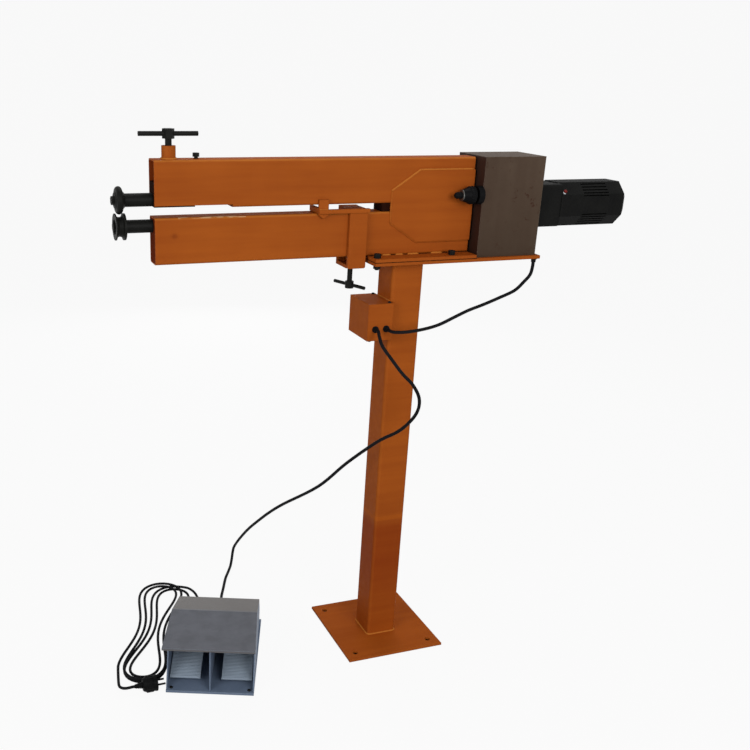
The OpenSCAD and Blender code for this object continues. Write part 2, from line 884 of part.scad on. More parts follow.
module gear_cover() {
  z1 = z_foot + cover_h;
  half = cover_depth / 2;
  color(steel) difference() {
    block([x_cover0, -half, z_foot], [x_cover1, half, z1]);
    block([x_cover0 + cover_t, cover_t - half, z_foot - cut],
      [x_cover1 - cover_t, half - cover_t, z1 - cover_t]);
    block([x_cover0 - cut, -slot_w / 2, z_foot - cut],
      [x_cover0 + cover_t + cut, slot_w / 2, z_up_axis + slot_w / 2]);
    along_x(x_cover1 - cover_t - cut, x_cover1 + cut)
      translate([0, z_motor]) round_rect(window_w, window_w, 4);
    bar_x(selector_stem + 2 * hole_gap, x_cover0 - cut, x_cover0 + cover_t + cut, selector_y, selector_z);
    for (x = tab_xs) translate([x, half, z_foot + cover_screw_z]) rotate([90, 0, 0])
      cylinder(d = panel_screw_d + 2 * hole_gap, h = 4 * cover_t, center = true);
  }
}

module motor_plate() {
  x1 = x_motor_plate + motor_plate_t;
  color(orange) difference() {
    block([x_motor_plate, -gearbox_w / 2, z_foot], [x1, gearbox_w / 2, z_motor + gearbox_w / 2]);
    bar_x(shaft_d + 2 * run_gap, x_motor_plate - cut, x1 + cut, 0, z_low_axis);
    bar_x(lay_d + 2 * run_gap, x1 - lay_seat, x1 + cut, lay_y, lay_z);
  }
}

module gearbox_case() {
  inner = gearbox_w - 2 * case_wall;
  color(black) difference() {
    along_x(x_case, x_motor) translate([0, z_motor]) round_rect(gearbox_w, gearbox_w, 8);
    along_x(x_case - cut, x_motor - case_wall) translate([0, z_motor]) round_rect(inner, inner, 4);
    bar_x(rotor_d + 2 * run_gap, x_motor - case_wall - cut, x_motor + cut, 0, z_motor);
    bar_x(lay_d + 2 * run_gap, x_motor - case_wall - cut, x_motor - 1, lay_y, lay_z);
  }
}

panel_h = 42;
fin_count = 5;
fin_pitch = (motor_w - panel_h) / 2 / fin_count;
fin_t = 0.6 * fin_pitch;
plain_len = 62;
motor_skin = 4;

// Square motor outline with its corners cut at 45 degrees
module cut_square(w, c) {
  h = w / 2;
  polygon([
    [h, c - h], [h, h - c], [h - c, h], [c - h, h], [-h, h - c], [-h, c - h], [c - h, -h], [h - c, -h]
  ]);
}

// Flat panels at the motor's front and back, with fins above and below them
module fin_outline() {
  circle(motor_bore / 2 + motor_skin);
  intersection() {
    cut_square(motor_w, motor_w / 4);
    union() {
      square([motor_w, panel_h], center = true);
      for (i = [1 : fin_count], j = [-1, 1])
        translate([0, j * (panel_h / 2 + i * fin_pitch - fin_t / 2)]) square([motor_w, fin_t], center = true);
    }
  }
}

module motor_housing() {
  color(black) difference() {
    union() {
      along_x(x_motor, x_motor + plain_len) translate([0, z_motor]) cut_square(motor_w, motor_w / 4);
      along_x(x_motor, x_cowl) translate([0, z_motor]) fin_outline();
    }
    bar_x(motor_bore, x_motor - cut, x_cowl - end_shield, 0, z_motor);
    bar_x(rotor_d + 2 * run_gap, x_cowl - end_shield - cut, x_cowl + cut, 0, z_motor);
  }
}

module stator() {
  color(steel) along_x(x_motor + stator_inset, x_motor + stator_inset + stator_len)
    translate([0, z_motor]) difference() {
      circle(motor_bore / 2 - seat_gap);
      circle(rotor_core_d / 2 + air_gap);
    }
}

cowl_t = 2.5;
cowl_taper = 14;
vent_count = 6;

module fan_cowl() {
  x1 = x_cowl + cowl_len;
  c = motor_w / 4;
  color(black) difference() {
    hull() {
      along_x(x_cowl, x1 - cowl_taper) translate([0, z_motor]) cut_square(motor_w, c);
      along_x(x1 - 1, x1) translate([0, z_motor]) cut_square(motor_w - 2 * cowl_taper, c - 4);
    }
    hull() {
      along_x(x_cowl - cut, x1 - cowl_taper - 1)
        translate([0, z_motor]) cut_square(motor_w - 2 * cowl_t, c - 1);
      along_x(x1 - cowl_t - 1, x1 - cowl_t) translate([0, z_motor])
        cut_square(motor_w - 2 * cowl_taper - 2 * cowl_t, c - 5);
    }
    for (i = [0 : vent_count - 1]) translate([x1 - cowl_t, 0, z_motor]) rotate([i * 360 / vent_count, 0, 0])
      translate([0, 12, 0]) cube([4 * cowl_t, 20, 8], center = false);
  }
}

terminal = [70, 34, 62];

module terminal_box() {
  color(black) translate([x_motor + 30, motor_w / 2, z_motor - terminal[2] / 2]) difference() {
    cube(terminal);
    translate([3, 3, 3]) cube(terminal - [6, 6, 6]);
  }
}

module output_gear() {
  color(steel) along_x(output_x, output_x + output_w) translate([0, z_low_axis]) difference() {
    rotate(30 + 180 / large_teeth) gear_outline(box_module, large_teeth, box_slack);
    circle(shaft_d / 2 + seat_gap);
  }
}

box_slack = 0.25;

module layshaft() {
  color(steel) {
    bar_x(lay_d, x_case - cover_t - lay_seat + 1, x_motor - 2, lay_y, lay_z);
    along_x(output_x - pinion_lap / 2, output_x + output_w + pinion_lap / 2) translate([lay_y, lay_z])
      rotate(210) gear_outline(box_module, small_teeth, box_slack);
    along_x(first_x, first_x + first_w) translate([lay_y, lay_z])
      rotate(150 + 180 / large_teeth) gear_outline(box_module, large_teeth, box_slack);
  }
}

fan_x = x_cowl + 8;
fan_w = 22;
fan_d = 84;
fan_blades = 8;

module rotor() {
  core = x_motor + stator_inset;
  color(bright) {
    along_x(first_x - pinion_lap / 2, first_x + first_w + pinion_lap / 2) translate([0, z_motor])
      rotate(-30) gear_outline(box_module, small_teeth, box_slack);
    bar_x(lay_d, first_x + first_w, x_motor - case_wall - 6, 0, z_motor);
    bar_x(rotor_d, x_motor - case_wall - 6, fan_x + fan_w, 0, z_motor);
    bar_x(rotor_core_d, core, core + stator_len, 0, z_motor);
  }
}

module cooling_fan() {
  color(black) difference() {
    union() {
      bar_x(rotor_d + 12, fan_x, fan_x + fan_w, 0, z_motor);
      bar_x(fan_d, fan_x, fan_x + 2, 0, z_motor);
      for (i = [0 : fan_blades - 1]) translate([fan_x, 0, z_motor]) rotate([i * 360 / fan_blades, 0, 0])
        translate([0, rotor_d / 2 + 3, -1]) cube([fan_w, (fan_d - rotor_d) / 2 - 4, 2]);
    }
    bar_x(rotor_d + 2 * seat_gap, fan_x - cut, fan_x + fan_w + cut, 0, z_motor);
  }
}

// Selector switch

selector_collar_d = 42;
selector_collar_h = 14;
selector_block = [36, 24, 32];
selector_block_in = 1;
lever_pivot_d = 12;
lever_pivot_w = 14;
selector_bore = norm([lever_pivot_d, lever_pivot_w]) + 2 * face_gap;
lever_neck_d = 11;
lever_ring_d = 40;
lever_ring_at = 8;
lever_ring_h = 14;
lever_cone_d = 25;
lever_cone_h = 16;
lever_tip_d = 15;
lever_len = 57;

module selector_switch() {
  x0 = x_cover0;
  x1 = x0 + cover_t;
  y0 = cover_t + selector_block_in - cover_depth / 2;
  color(black) difference() {
    union() {
      bar_x(selector_collar_d, x0 - selector_collar_h, x0, selector_y, selector_z);
      bar_x(selector_stem, x0 - 2, x1 + 2, selector_y, selector_z);
      translate([x1, y0, selector_z - selector_block[2] / 2]) cube(selector_block);
    }
    bar_x(selector_bore, x0 - selector_collar_h - cut, x0 - 3, selector_y, selector_z);
  }
}

module selector_lever() {
  z1 = lever_ring_at + lever_ring_h;
  z2 = z1 + lever_cone_h;
  color(black) translate([x_cover0 - selector_pivot, selector_y, selector_z]) rotate([0, -90, 0]) {
    rotate([90, 0, 0]) cylinder(d = lever_pivot_d, h = lever_pivot_w, center = true);
    cylinder(d = lever_neck_d, h = lever_ring_at + 1);
    translate([0, 0, lever_ring_at]) cylinder(d1 = lever_ring_d, d2 = lever_ring_d - 3, h = lever_ring_h);
    translate([0, 0, z1]) cylinder(d1 = lever_ring_d - 4, d2 = lever_cone_d, h = lever_cone_h);
    translate([0, 0, z2]) cylinder(d = lever_tip_d, h = lever_len - z2 - lever_tip_d / 2);
    translate([0, 0, lever_len - lever_tip_d / 2]) sphere(d = lever_tip_d);
  }
}

// Control box

gland_xs = [for (i = [0, 1]) box_x0 + gland_in + i * gland_pitch];

module control_box() {
  color(orange) difference() {
    block([box_x0, box_y0, box_z], [box_x1, box_y0 + box_w, box_z + box_h]);
    block([box_x0 - cut, box_y0 + box_t, box_z + box_t],
      [box_x1 - box_t, box_y0 + box_w - box_t, box_z + box_h - box_t]);
  }
}

module control_lid() {
  color(orange) block([box_x0 - lid_t, box_y0, box_z], [box_x0, box_y0 + box_w, box_z + box_h]);
}

module contactor() {
  color(black) translate([box_x1 - box_t, box_mid_y, box_z + box_h / 2]) {
    translate([-6, -40, -8]) cube([6, 80, 16]);
    translate([-44, -23, -30]) cube([38, 46, 60]);
  }
}

// A pan head screw into a wall at the origin, with its head along +Z
module pan_screw(shank) {
  cylinder(d1 = screw_head_d, d2 = screw_head_d - 3, h = screw_head_h);
  if (shank > 0) translate([0, 0, -shank]) cylinder(d = panel_screw_d, h = shank);
}

box_screw_inset = 8;
pedal_screw_inset = 12;

module panel_screws() {
  color(black) {
    for (x = tab_xs) translate([x, cover_depth / 2, z_foot + cover_screw_z])
      rotate([-90, 0, 0]) pan_screw(cover_t);
    for (y = [box_y0 + box_screw_inset, box_y0 + box_w - box_screw_inset]) {
      translate([box_x1 - box_screw_inset, y, box_z + box_h]) pan_screw(0);
      translate([box_x0 + box_screw_inset, y, box_z]) rotate([180, 0, 0]) pan_screw(0);
    }
    at_pedal() for (i = [-1, 1])
      translate([i * (pedal_w / 2 - pedal_screw_inset), pedal_screw_inset, pedal_base_t]) pan_screw(0);
  }
}

module cable_glands() {
  color(black) {
    translate(plate_gland_at) rotate([180, 0, 0]) cable_entry(grommet_len, grommet_d, cable_d);
    for (x = gland_xs) translate([x, box_y0, box_z + gland_z]) rotate([90, 0, 0])
      cable_entry(grommet_len, grommet_d, cable_d);
    at_pedal() {
      translate([cable_gland_x, pedal_depth, pedal_gland_z]) rotate([-90, 0, 0])
        cable_entry(relief_len, relief_d, cable_d);
      translate([lead_gland_x, pedal_depth, pedal_gland_z]) rotate([-90, 0, 0])
        cable_entry(relief_len, relief_d, lead_d);
    }
  }
}

// Cables and mains lead

box_pedal_tip = [gland_xs[0], box_y0 - grommet_len, box_z + gland_z];
box_motor_tip = [gland_xs[1], box_y0 - grommet_len, box_z + gland_z];
plate_tip = plate_gland_at - [0, 0, grommet_len];
pedal_back = [-sin(pedal_yaw), cos(pedal_yaw), 0];
pedal_cable_tip = from_pedal([cable_gland_x, pedal_depth + relief_len, pedal_gland_z]);
pedal_lead_tip = from_pedal([lead_gland_x, pedal_depth + relief_len, pedal_gland_z]);

module motor_cable() {
  line = cord_line(plate_tip, [0, 0, -1], motor_route, box_motor_tip, [0, -1, 0], cable_d, 2);
  color(black) tube(line, cable_d, 8);
}

module pedal_cable() {
  line = cord_line(box_pedal_tip, [0, -1, 0], pedal_route, pedal_cable_tip, pedal_back, cable_d, 2);
  color(black) tube(line, cable_d, 8);
}

// The hank lies in two layers: it spirals in on the floor and out again on top
hank_side = [-sin(hank_angle), cos(hank_angle), 0];
hank_low = lead_d / 2 + hank_floor;
hank_high = hank_low + lead_d + layer_gap;

function ease(t) = let (c = max(0, min(1, t))) c * c * (3 - 2 * c);

function hank_at(u) =
  let (
    t = 360 * u,
    up = ease((u - hank_mid + 0.25) * 2),
    a = hank_angle + hank_fan * up,
    width = hank_waist + hank_lobe * cos(t) * cos(t),
    along = [-hank_half * sin(t), cos(t) * (width - 2 * hank_lobe * sin(t) * sin(t))],
    q = [hank_half * (1 + cos(t)), width * sin(t)]
      + hank_step * abs(u - hank_mid) * unit([along[1], -along[0]])
  )
  [hank_x + q[0] * cos(a) - q[1] * sin(a), hank_y + q[0] * sin(a) + q[1] * cos(a),
   hank_low + (hank_high - hank_low) * up];

hank_start = hank_at(0) - lead_d * hank_side;
hank_steps = floor(hank_loops * hank_rings);
plug_tip = [plug_x, plug_y, plug_z];

function hank_line(rings) =
  [for (i = [0 : floor(hank_loops * rings)]) hank_at(i / rings)];

// Least distance between parts of a line that lie more than apart points from each other
function least_gap(p, apart) =
  min([for (i = [0 : len(p) - 1 - apart], j = [i + apart : len(p) - 1]) norm(p[i] - p[j])]);

module mains_run() {
  line = cord_line(pedal_lead_tip, pedal_back, lead_route, hank_start, -hank_side, lead_d, 3);
  color(black) tube(line, lead_d, 8);
}

module mains_hank() {
  tail = smooth(concat([hank_at(hank_steps / hank_rings)], hank_tail, [plug_tip - [lead_d, 0, 0]]), 3);
  line = concat([hank_start], hank_line(hank_rings), [for (i = [1 : len(tail) - 1]) tail[i]], [plug_tip]);
  echo(hank_gap = least_gap(hank_line(6 * hank_rings), 2 * hank_rings) - lead_d);
  color(black) tube(line, lead_d, 6);
}

module mains_plug() {
  color(black) translate(plug_tip) rotate([0, 90, 0]) {
    cylinder(d1 = lead_d + 2, d2 = lead_d + 9, h = plug_relief);
    translate([0, 0, plug_relief]) cylinder(d1 = plug_d - 8, d2 = plug_d, h = 8);
    translate([0, 0, plug_relief + 8]) cylinder(d = plug_d, h = plug_len - 8);
    for (j = [-1, 1]) translate([0, j * pin_pitch / 2, plug_relief + plug_len])
      cylinder(d = pin_d, h = pin_len);
  }
}

// Foot pedal

wall_x = pedal_w / 2;
back_x = wall_x + pedal_flare / 2;
hood_z = hood_h - hood_t;
back_z = hood_z - hood_drop;
back_tilt = atan2(hood_drop, hood_back - hood_bend);

// Outline of a side or of the divider under the hood, in pedal Y and Z
module side_outline(front_low, front_high) {
  polygon([
    [front_low, pedal_base_t], [pedal_depth, pedal_base_t], [pedal_depth, back_rise],
    [hood_back, back_z], [hood_bend, hood_z], [front_high, hood_z]
  ]);
}

module upright(x, front_low, front_high) {
  translate([x, 0, 0]) rotate([90, 0, 90]) linear_extrude(hood_t) side_outline(front_low, front_high);
}

module pedal_base() {
  color(grey) at_pedal() linear_extrude(pedal_base_t) polygon([
    [-wall_x, 0], [wall_x, 0], [back_x, pedal_depth], [-back_x, pedal_depth]
  ]);
}

module pedal_housing() {
  color(grey) at_pedal() difference() {
    union() {
      upright(-wall_x, divider_front, side_slope);
      upright(wall_x - hood_t, divider_front, side_slope);
      upright(-hood_t / 2, divider_front, divider_front);
      translate([-wall_x, 0, 0]) rotate([90, 0, 90]) linear_extrude(pedal_w) polygon([
        [pedal_depth, pedal_base_t], [pedal_depth, back_rise], [hood_back, back_z],
        [hood_back - hood_t, back_z], [pedal_depth - hood_t, back_rise - cut],
        [pedal_depth - hood_t, pedal_base_t]
      ]);
    }
    translate([-pedal_w, pin_y, pin_z]) rotate([0, 90, 0])
      cylinder(d = treadle_pin_d + 2 * seat_gap, h = 2 * pedal_w);
  }
}

module pedal_hood() {
  front = wall_x + hood_flare;
  rise = hood_t / cos(back_tilt);
  color(grey) at_pedal() intersection() {
    along_x(-pedal_w, pedal_w) polygon([
      [hood_front, hood_h - hood_lip], [hood_front + hood_t, hood_h - hood_lip],
      [hood_front + hood_t, hood_z], [hood_bend, hood_z], [hood_back, back_z], [hood_back, back_z + rise],
      [hood_bend + (rise - hood_t) / tan(back_tilt), hood_h], [hood_front, hood_h]
    ]);
    linear_extrude(hood_h + cut) polygon([
      [-front, hood_front], [front, hood_front], [wall_x, hood_bend], [wall_x, hood_back],
      [-wall_x, hood_back], [-wall_x, hood_bend]
    ]);
  }
}

module treadle_pin() {
  color(bright) at_pedal() translate([-wall_x, pin_y, pin_z]) rotate([0, 90, 0])
    cylinder(d = treadle_pin_d, h = pedal_w);
}

// Side outline of a treadle's ribbed plate, with the pin's axis at the origin
module treadle_outline() {
  translate([-treadle_len, -treadle_t]) square([treadle_len - plate_back, treadle_t]);
  for (i = [0 : rib_count - 1])
    translate([rib_pitch * (i + 0.5) - treadle_len, -treadle_t / 2]) square([rib_w, treadle_t / 2 + rib_h]);
}

// Side outline of a lug that carries a treadle on the pin
module lug_outline() {
  circle(d = lug_d);
  translate([-plate_back - lug_lap, -treadle_t]) square([plate_back + lug_lap, treadle_t]);
}

// One treadle: a ribbed plate that slopes up to two lugs on the pin
module treadle(x0) {
  color(grey) at_pedal() translate([x0, pin_y, pin_z]) rotate([treadle_tilt, 0, 0]) difference() {
    union() {
      along_x(0, treadle_w) treadle_outline();
      for (x = [0, treadle_w - lug_w]) along_x(x, x + lug_w) lug_outline();
    }
    bar_x(treadle_pin_d + 2 * run_gap, -cut, treadle_w + cut, 0, 0);
  }
}

module left_treadle() {
  treadle(-treadle_slot - treadle_w);
}

module right_treadle() {
  treadle(treadle_slot);
}

// Torsion springs wound round the pin between each treadle's lugs
module treadle_springs() {
  color(bright) at_pedal() for (x0 = [-treadle_slot - treadle_w / 2, treadle_slot + treadle_w / 2])
    tube([for (i = [0 : spring_rings * spring_turns])
      let (a = 360 * i / spring_rings, x = x0 + spring_pitch * (i / spring_rings - spring_turns / 2))
      [x, pin_y + spring_r * cos(a), pin_z + spring_r * sin(a)]],
      spring_wire, 6);
}

switch_box = [30, 40, 24];
switch_y = 110;
plunger_y = 125;
plunger_h = 5.2;
plunger_d = 6;

module treadle_switches() {
  z1 = pedal_base_t + switch_box[2];
  color(black) at_pedal() for (i = [-1, 1])
    translate([i * (treadle_slot + treadle_w / 2), 0, 0]) {
      translate([-switch_box[0] / 2, switch_y, pedal_base_t]) cube(switch_box);
      translate([0, plunger_y, z1]) cylinder(d = plunger_d, h = plunger_h);
    }
}

base_plate();
post_tube();
post_top_plate();
frame_foot_plate();
foot_plate_bolts();
lower_beam();
upper_beam();
throat_spacer();
throat_gussets();
lower_bearing_blocks();
lower_bushes();
screw_boss();
carriage_pivot();
gear_cover();
motor_plate();
gearbox_case();
motor_housing();
stator();
fan_cowl();
terminal_box();
selector_switch();
control_box();
control_lid();
contactor();
panel_screws();
cable_glands();
motor_cable();
pedal_cable();
mains_run();
mains_hank();
mains_plug();
pedal_base();
pedal_housing();
pedal_hood();
treadle_pin();
treadle_springs();
treadle_switches();
left_treadle();
right_treadle();
lower_shaft();
lower_roller();
lower_roller_screw();
lower_gear();
output_gear();
swing_carriage();
carriage_bushes();
lift_bolt();
upper_shaft();
upper_roller();
upper_roller_screw();
upper_gear();
pressure_pad();
pressure_screw();
fence_bracket();
fence_pad();
fence_screw();
layshaft();
rotor();
cooling_fan();
selector_lever();
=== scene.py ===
# %% [markdown]
# A bead roller on a floor post. Two long beams carry a pair of shafts with a
# bead and a groove roller at the free end, a gear cover and a gearmotor close
# the other end, and a foot pedal on a cable starts and stops it. The solids
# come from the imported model, so this file adds the camera, the cords, the
# finishes and the small shapes that a fabricator leaves behind.

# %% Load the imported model
import json
import math

import bpy
from mathutils import Matrix, Vector, noise


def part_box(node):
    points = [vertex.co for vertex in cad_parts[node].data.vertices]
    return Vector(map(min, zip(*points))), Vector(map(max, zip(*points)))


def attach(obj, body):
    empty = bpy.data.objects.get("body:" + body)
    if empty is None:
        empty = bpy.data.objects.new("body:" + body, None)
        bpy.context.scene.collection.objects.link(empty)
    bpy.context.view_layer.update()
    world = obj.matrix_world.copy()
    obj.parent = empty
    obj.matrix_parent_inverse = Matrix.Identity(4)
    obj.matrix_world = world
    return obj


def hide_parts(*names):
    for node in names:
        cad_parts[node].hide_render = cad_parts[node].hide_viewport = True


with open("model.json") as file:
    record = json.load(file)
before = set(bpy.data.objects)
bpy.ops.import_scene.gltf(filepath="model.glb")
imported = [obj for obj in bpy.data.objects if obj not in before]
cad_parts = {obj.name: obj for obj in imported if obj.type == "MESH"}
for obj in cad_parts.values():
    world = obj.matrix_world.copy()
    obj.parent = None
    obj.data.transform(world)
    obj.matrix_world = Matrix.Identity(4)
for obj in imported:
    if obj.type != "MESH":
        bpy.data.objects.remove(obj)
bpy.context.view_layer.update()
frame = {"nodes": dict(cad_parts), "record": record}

nodes = frame["nodes"]

# %% [markdown]
# The picture was taken from the left, a little above the head, with the machine
# right of the lens axis. A camera could be aimed with a constraint, but three
# measured angles and a shift keep every edge where the picture has it.

# %% The camera
IMAGE = 750
CAMERA_AT = Vector((-1.02924, -1.978, 1.44598))
YAW, PITCH, ROLL = (math.radians(a) for a in (19.58, -20.41, -1.41))
FOCAL = 940.54
CENTRE = (267.68, 409.63)
SENSOR = 36.0

forward = Vector((math.sin(YAW) * math.cos(PITCH), math.cos(YAW) * math.cos(PITCH), math.sin(PITCH)))
level = Vector((math.cos(YAW), -math.sin(YAW), 0.0))
down = forward.cross(level)
right = math.cos(ROLL) * level + math.sin(ROLL) * down
lower = math.cos(ROLL) * down - math.sin(ROLL) * level

lens = bpy.data.cameras.new("Camera")
lens.sensor_width = SENSOR
lens.lens = FOCAL * SENSOR / IMAGE
lens.shift_x = (IMAGE / 2 - CENTRE[0]) / IMAGE
lens.shift_y = (CENTRE[1] - IMAGE / 2) / IMAGE
lens.clip_start = 0.05
camera = bpy.data.objects.new("Camera", lens)
camera.matrix_world = Matrix.Translation(CAMERA_AT) @ Matrix((right, -lower, -forward)).transposed().to_4x4()
bpy.context.scene.collection.objects.link(camera)
bpy.context.scene.camera = camera
print("lens:", round(lens.lens, 2), "mm, shift", round(lens.shift_x, 4), round(lens.shift_y, 4))

# %% [markdown]
# Three cords run over this machine: a short cable from the plate under the
# gearmotor to the control box, a longer one from the box down to the pedal, and
# a mains lead that is folded into a hank beside the pedal. Each is one curve
# with a round profile along the points of its CAD route. A simulated rope would
# settle as well, but the route is known, so a spline through it is exact.

# %% Lines through the routes' points
MM = 0.001
STEPS_PER_POINT = 6


def points(*rows):
    return [Vector(row) * MM for row in rows]


def smooth_line(through):
    line = []
    last = len(through) - 1
    for i in range(last):
        a, b, c, d = (through[min(max(i + k, 0), last)] for k in (-1, 0, 1, 2))
        for t in (k / STEPS_PER_POINT for k in range(STEPS_PER_POINT)):
            line.append(0.5 * (2 * b + (c - a) * t + (2 * a - 5 * b + 4 * c - d) * t * t
                               + (3 * b - a - 3 * c + d) * t ** 3))
    return line + [through[-1]]


def run_of_cord(tip, out, route, end, end_out, diameter):
    inner = [tip + diameter * out, *route, end + diameter * end_out]
    return [tip, *smooth_line(inner), end]


def length_of(line):
    return sum((b - a).length for a, b in zip(line, line[1:]))


PEDAL_AT, PEDAL_YAW = Vector((-0.510, -0.149, 0.0)), math.radians(-21)
PEDAL_TURN = Matrix.Translation(PEDAL_AT) @ Matrix.Rotation(PEDAL_YAW, 4, "Z")


def from_pedal(x, y, z):
    return PEDAL_TURN @ (Vector((x, y, z)) * MM)


CABLE, LEAD = 0.008, 0.007
X, Y, Z = (Vector(v) for v in ((1, 0, 0), (0, 1, 0), (0, 0, 1)))
pedal_back = PEDAL_TURN.to_3x3() @ Y

motor_route = points(
    (322, -58, 972), (306, -58, 954), (277, -66, 936), (232, -72, 922), (188, -76, 909), (145, -80, 898),
    (103, -87, 885), (62, -95, 873), (20, -102, 867), (-24, -105, 864), (-47, -96, 862), (-55, -85, 861))
pedal_route = points(
    (-88, -88, 853), (-88, -107, 835), (-74, -128, 810), (-53, -146, 779), (-29, -158, 752), (-13, -163, 721),
    (-9, -155, 687), (-18, -139, 654), (-38, -118, 622), (-74, -87, 588), (-121, -22, 511), (-163, 54, 418),
    (-211, 176, 317), (-230, 233, 267), (-243, 287, 217), (-254, 344, 163), (-262, 397, 107), (-266, 438, 60),
    (-268, 448, 37), (-274, 440, 14), (-285, 417, 5.5), (-302, 385, 5), (-320, 352, 4.5), (-342, 301, 4.5),
    (-362, 253, 4.5), (-362, 228, 8), (-364, 203, 16))
lead_route = points((-442, 220, 18), (-432, 247, 9), (-426, 276, 4), (-428, 306, 4), (-438, 331, 4))
plate_tip, box_motor_tip, box_pedal_tip = points((326, -58, 1002), (-56.5, -67, 861), (-84.5, -67, 861))
pedal_cable_tip, pedal_lead_tip = from_pedal(15, 349, 20), from_pedal(-70, 349, 20)

motor_line = run_of_cord(plate_tip, -Z, motor_route, box_motor_tip, -Y, CABLE)
pedal_line = run_of_cord(box_pedal_tip, -Y, pedal_route, pedal_cable_tip, pedal_back, CABLE)
print("motor cable", round(length_of(motor_line), 3), "m, pedal cable", round(length_of(pedal_line), 3), "m")

# %% [markdown]
# The hank is three and a half long loops, drawn in at the waist, that spiral in
# on the floor and out again on top. The upper loops are turned a few degrees
# about the near end, as a hank fans when it is dropped. One formula gives every
# point, with the lift from layer to layer spread along one run.

# %% The folded mains lead
HANK_AT, HANK_ANGLE, HANK_FAN = Vector((-0.655, -0.044, 0.0)), math.radians(64.5), math.radians(5)
HANK_HALF, HANK_WAIST, HANK_LOBE, HANK_STEP = 0.207, 0.012, 0.075, 0.015
HANK_MID, HANK_RISE, HANK_RINGS, HANK_LAST = 1.5, 0.5, 72, 82 / 24
HANK_LOW, HANK_HIGH = 0.004, 0.0116
hank_side = Vector((-math.sin(HANK_ANGLE), math.cos(HANK_ANGLE), 0))


def ease(x):
    x = min(max(x, 0.0), 1.0)
    return x * x * (3 - 2 * x)


def hank_at(turns):
    t = math.tau * turns
    lift = ease((turns - HANK_MID) / HANK_RISE + 0.5)
    width = HANK_WAIST + HANK_LOBE * math.cos(t) ** 2
    ahead = Vector((-HANK_HALF * math.sin(t), math.cos(t) * (width - 2 * HANK_LOBE * math.sin(t) ** 2)))
    outward = Vector((ahead.y, -ahead.x)).normalized() * HANK_STEP * abs(turns - HANK_MID)
    flat = Vector((HANK_HALF * (1 + math.cos(t)) + outward.x, width * math.sin(t) + outward.y, 0))
    fan = Matrix.Rotation(HANK_ANGLE + HANK_FAN * lift, 3, "Z")
    return HANK_AT + fan @ flat + Z * (HANK_LOW + (HANK_HIGH - HANK_LOW) * lift)


hank_start = hank_at(0) - LEAD * hank_side
plug_tip = Vector((-0.682, -0.092, 0.0195))
hank_tail = points(
    (-711, -34, 11.2), (-715, -63, 11), (-713.2, -75.4, 12.4), (-707.6, -84.4, 14.8), (-699.4, -90, 17.4))
hank_turns = int(HANK_LAST * HANK_RINGS + 0.5)
lead_line = (
    run_of_cord(pedal_lead_tip, pedal_back, lead_route, hank_start, -hank_side, LEAD)
    + [hank_at(i / HANK_RINGS) for i in range(hank_turns + 1)]
    + smooth_line([hank_at(HANK_LAST), *hank_tail, plug_tip - LEAD * X])[1:] + [plug_tip])
print("mains lead", round(length_of(lead_line), 3), "m in", len(lead_line), "points")

# %% [markdown]
# A cord's piece stands in for its CAD solids and keeps their ends. The radius is
# given at the points and the bevel is left at one, because a bevel depth would
# be added to the curve's box as well as to its shape.

# %% Make the cords
def cord_piece(name, line, diameter, replaced):
    curve = bpy.data.curves.new(name, "CURVE")
    curve.dimensions = "3D"
    curve.bevel_depth = 1.0
    curve.bevel_resolution = 3
    curve.use_fill_caps = True
    spline = curve.splines.new("POLY")
    spline.points.add(len(line) - 1)
    for point, place in zip(spline.points, line):
        point.co, point.radius = (*place, 1.0), diameter / 2
    piece = bpy.data.objects.new(name, curve)
    bpy.context.scene.collection.objects.link(piece)
    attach(piece, "stand")
    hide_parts(*replaced)
    round(length_of(line), 3)
    return piece


cords = [
    cord_piece("motor_cable_sheath", motor_line, CABLE, ["motor_cable"]),
    cord_piece("pedal_cable_sheath", pedal_line, CABLE, ["pedal_cable"]),
    cord_piece("mains_lead_sheath", lead_line, LEAD, ["mains_run", "mains_hank"]),
]
print("cords:", [c.name for c in cords])

# %% [markdown]
# Finishes are built from nodes. Long chains of Math nodes are hard to read, so
# a small class wraps a socket and lets a mask be written as arithmetic, and one
# method makes every other node from its type, its settings and its inputs.

# %% A socket that can be written into sums
class Wire:
    def __init__(self, finish, socket):
        self.finish, self.socket = finish, socket

    def math(self, operation, a, b):
        return self.finish.node("ShaderNodeMath", {"operation": operation}, {0: a, 1: b})

    def __add__(self, other):
        return self.math("ADD", self, other)

    __radd__ = __add__

    def __sub__(self, other):
        return self.math("SUBTRACT", self, other)

    def __rsub__(self, other):
        return self.math("SUBTRACT", other, self)

    def __mul__(self, other):
        return self.math("MULTIPLY", self, other)

    __rmul__ = __mul__


# %% [markdown]
# A finish is one material. Its methods name what the recipes need: noise, a
# ramp, a mix of two colours, a place along an axis, a mask about a place, edges
# and corners for rubbed paint and painted highlights, a mask of faces that turn
# up, and a bump. The corners of the solids are truly rounded, so a mask from the
# face normals finds them where the bevel node sees no edge.

# %% A finish, with one way to make its nodes
def linear(code):
    parts = [int(code[i:i + 2], 16) / 255 for i in (1, 3, 5)]
    return (*((c / 12.92 if c <= 0.04045 else ((c + 0.055) / 1.055) ** 2.4) for c in parts), 1.0)


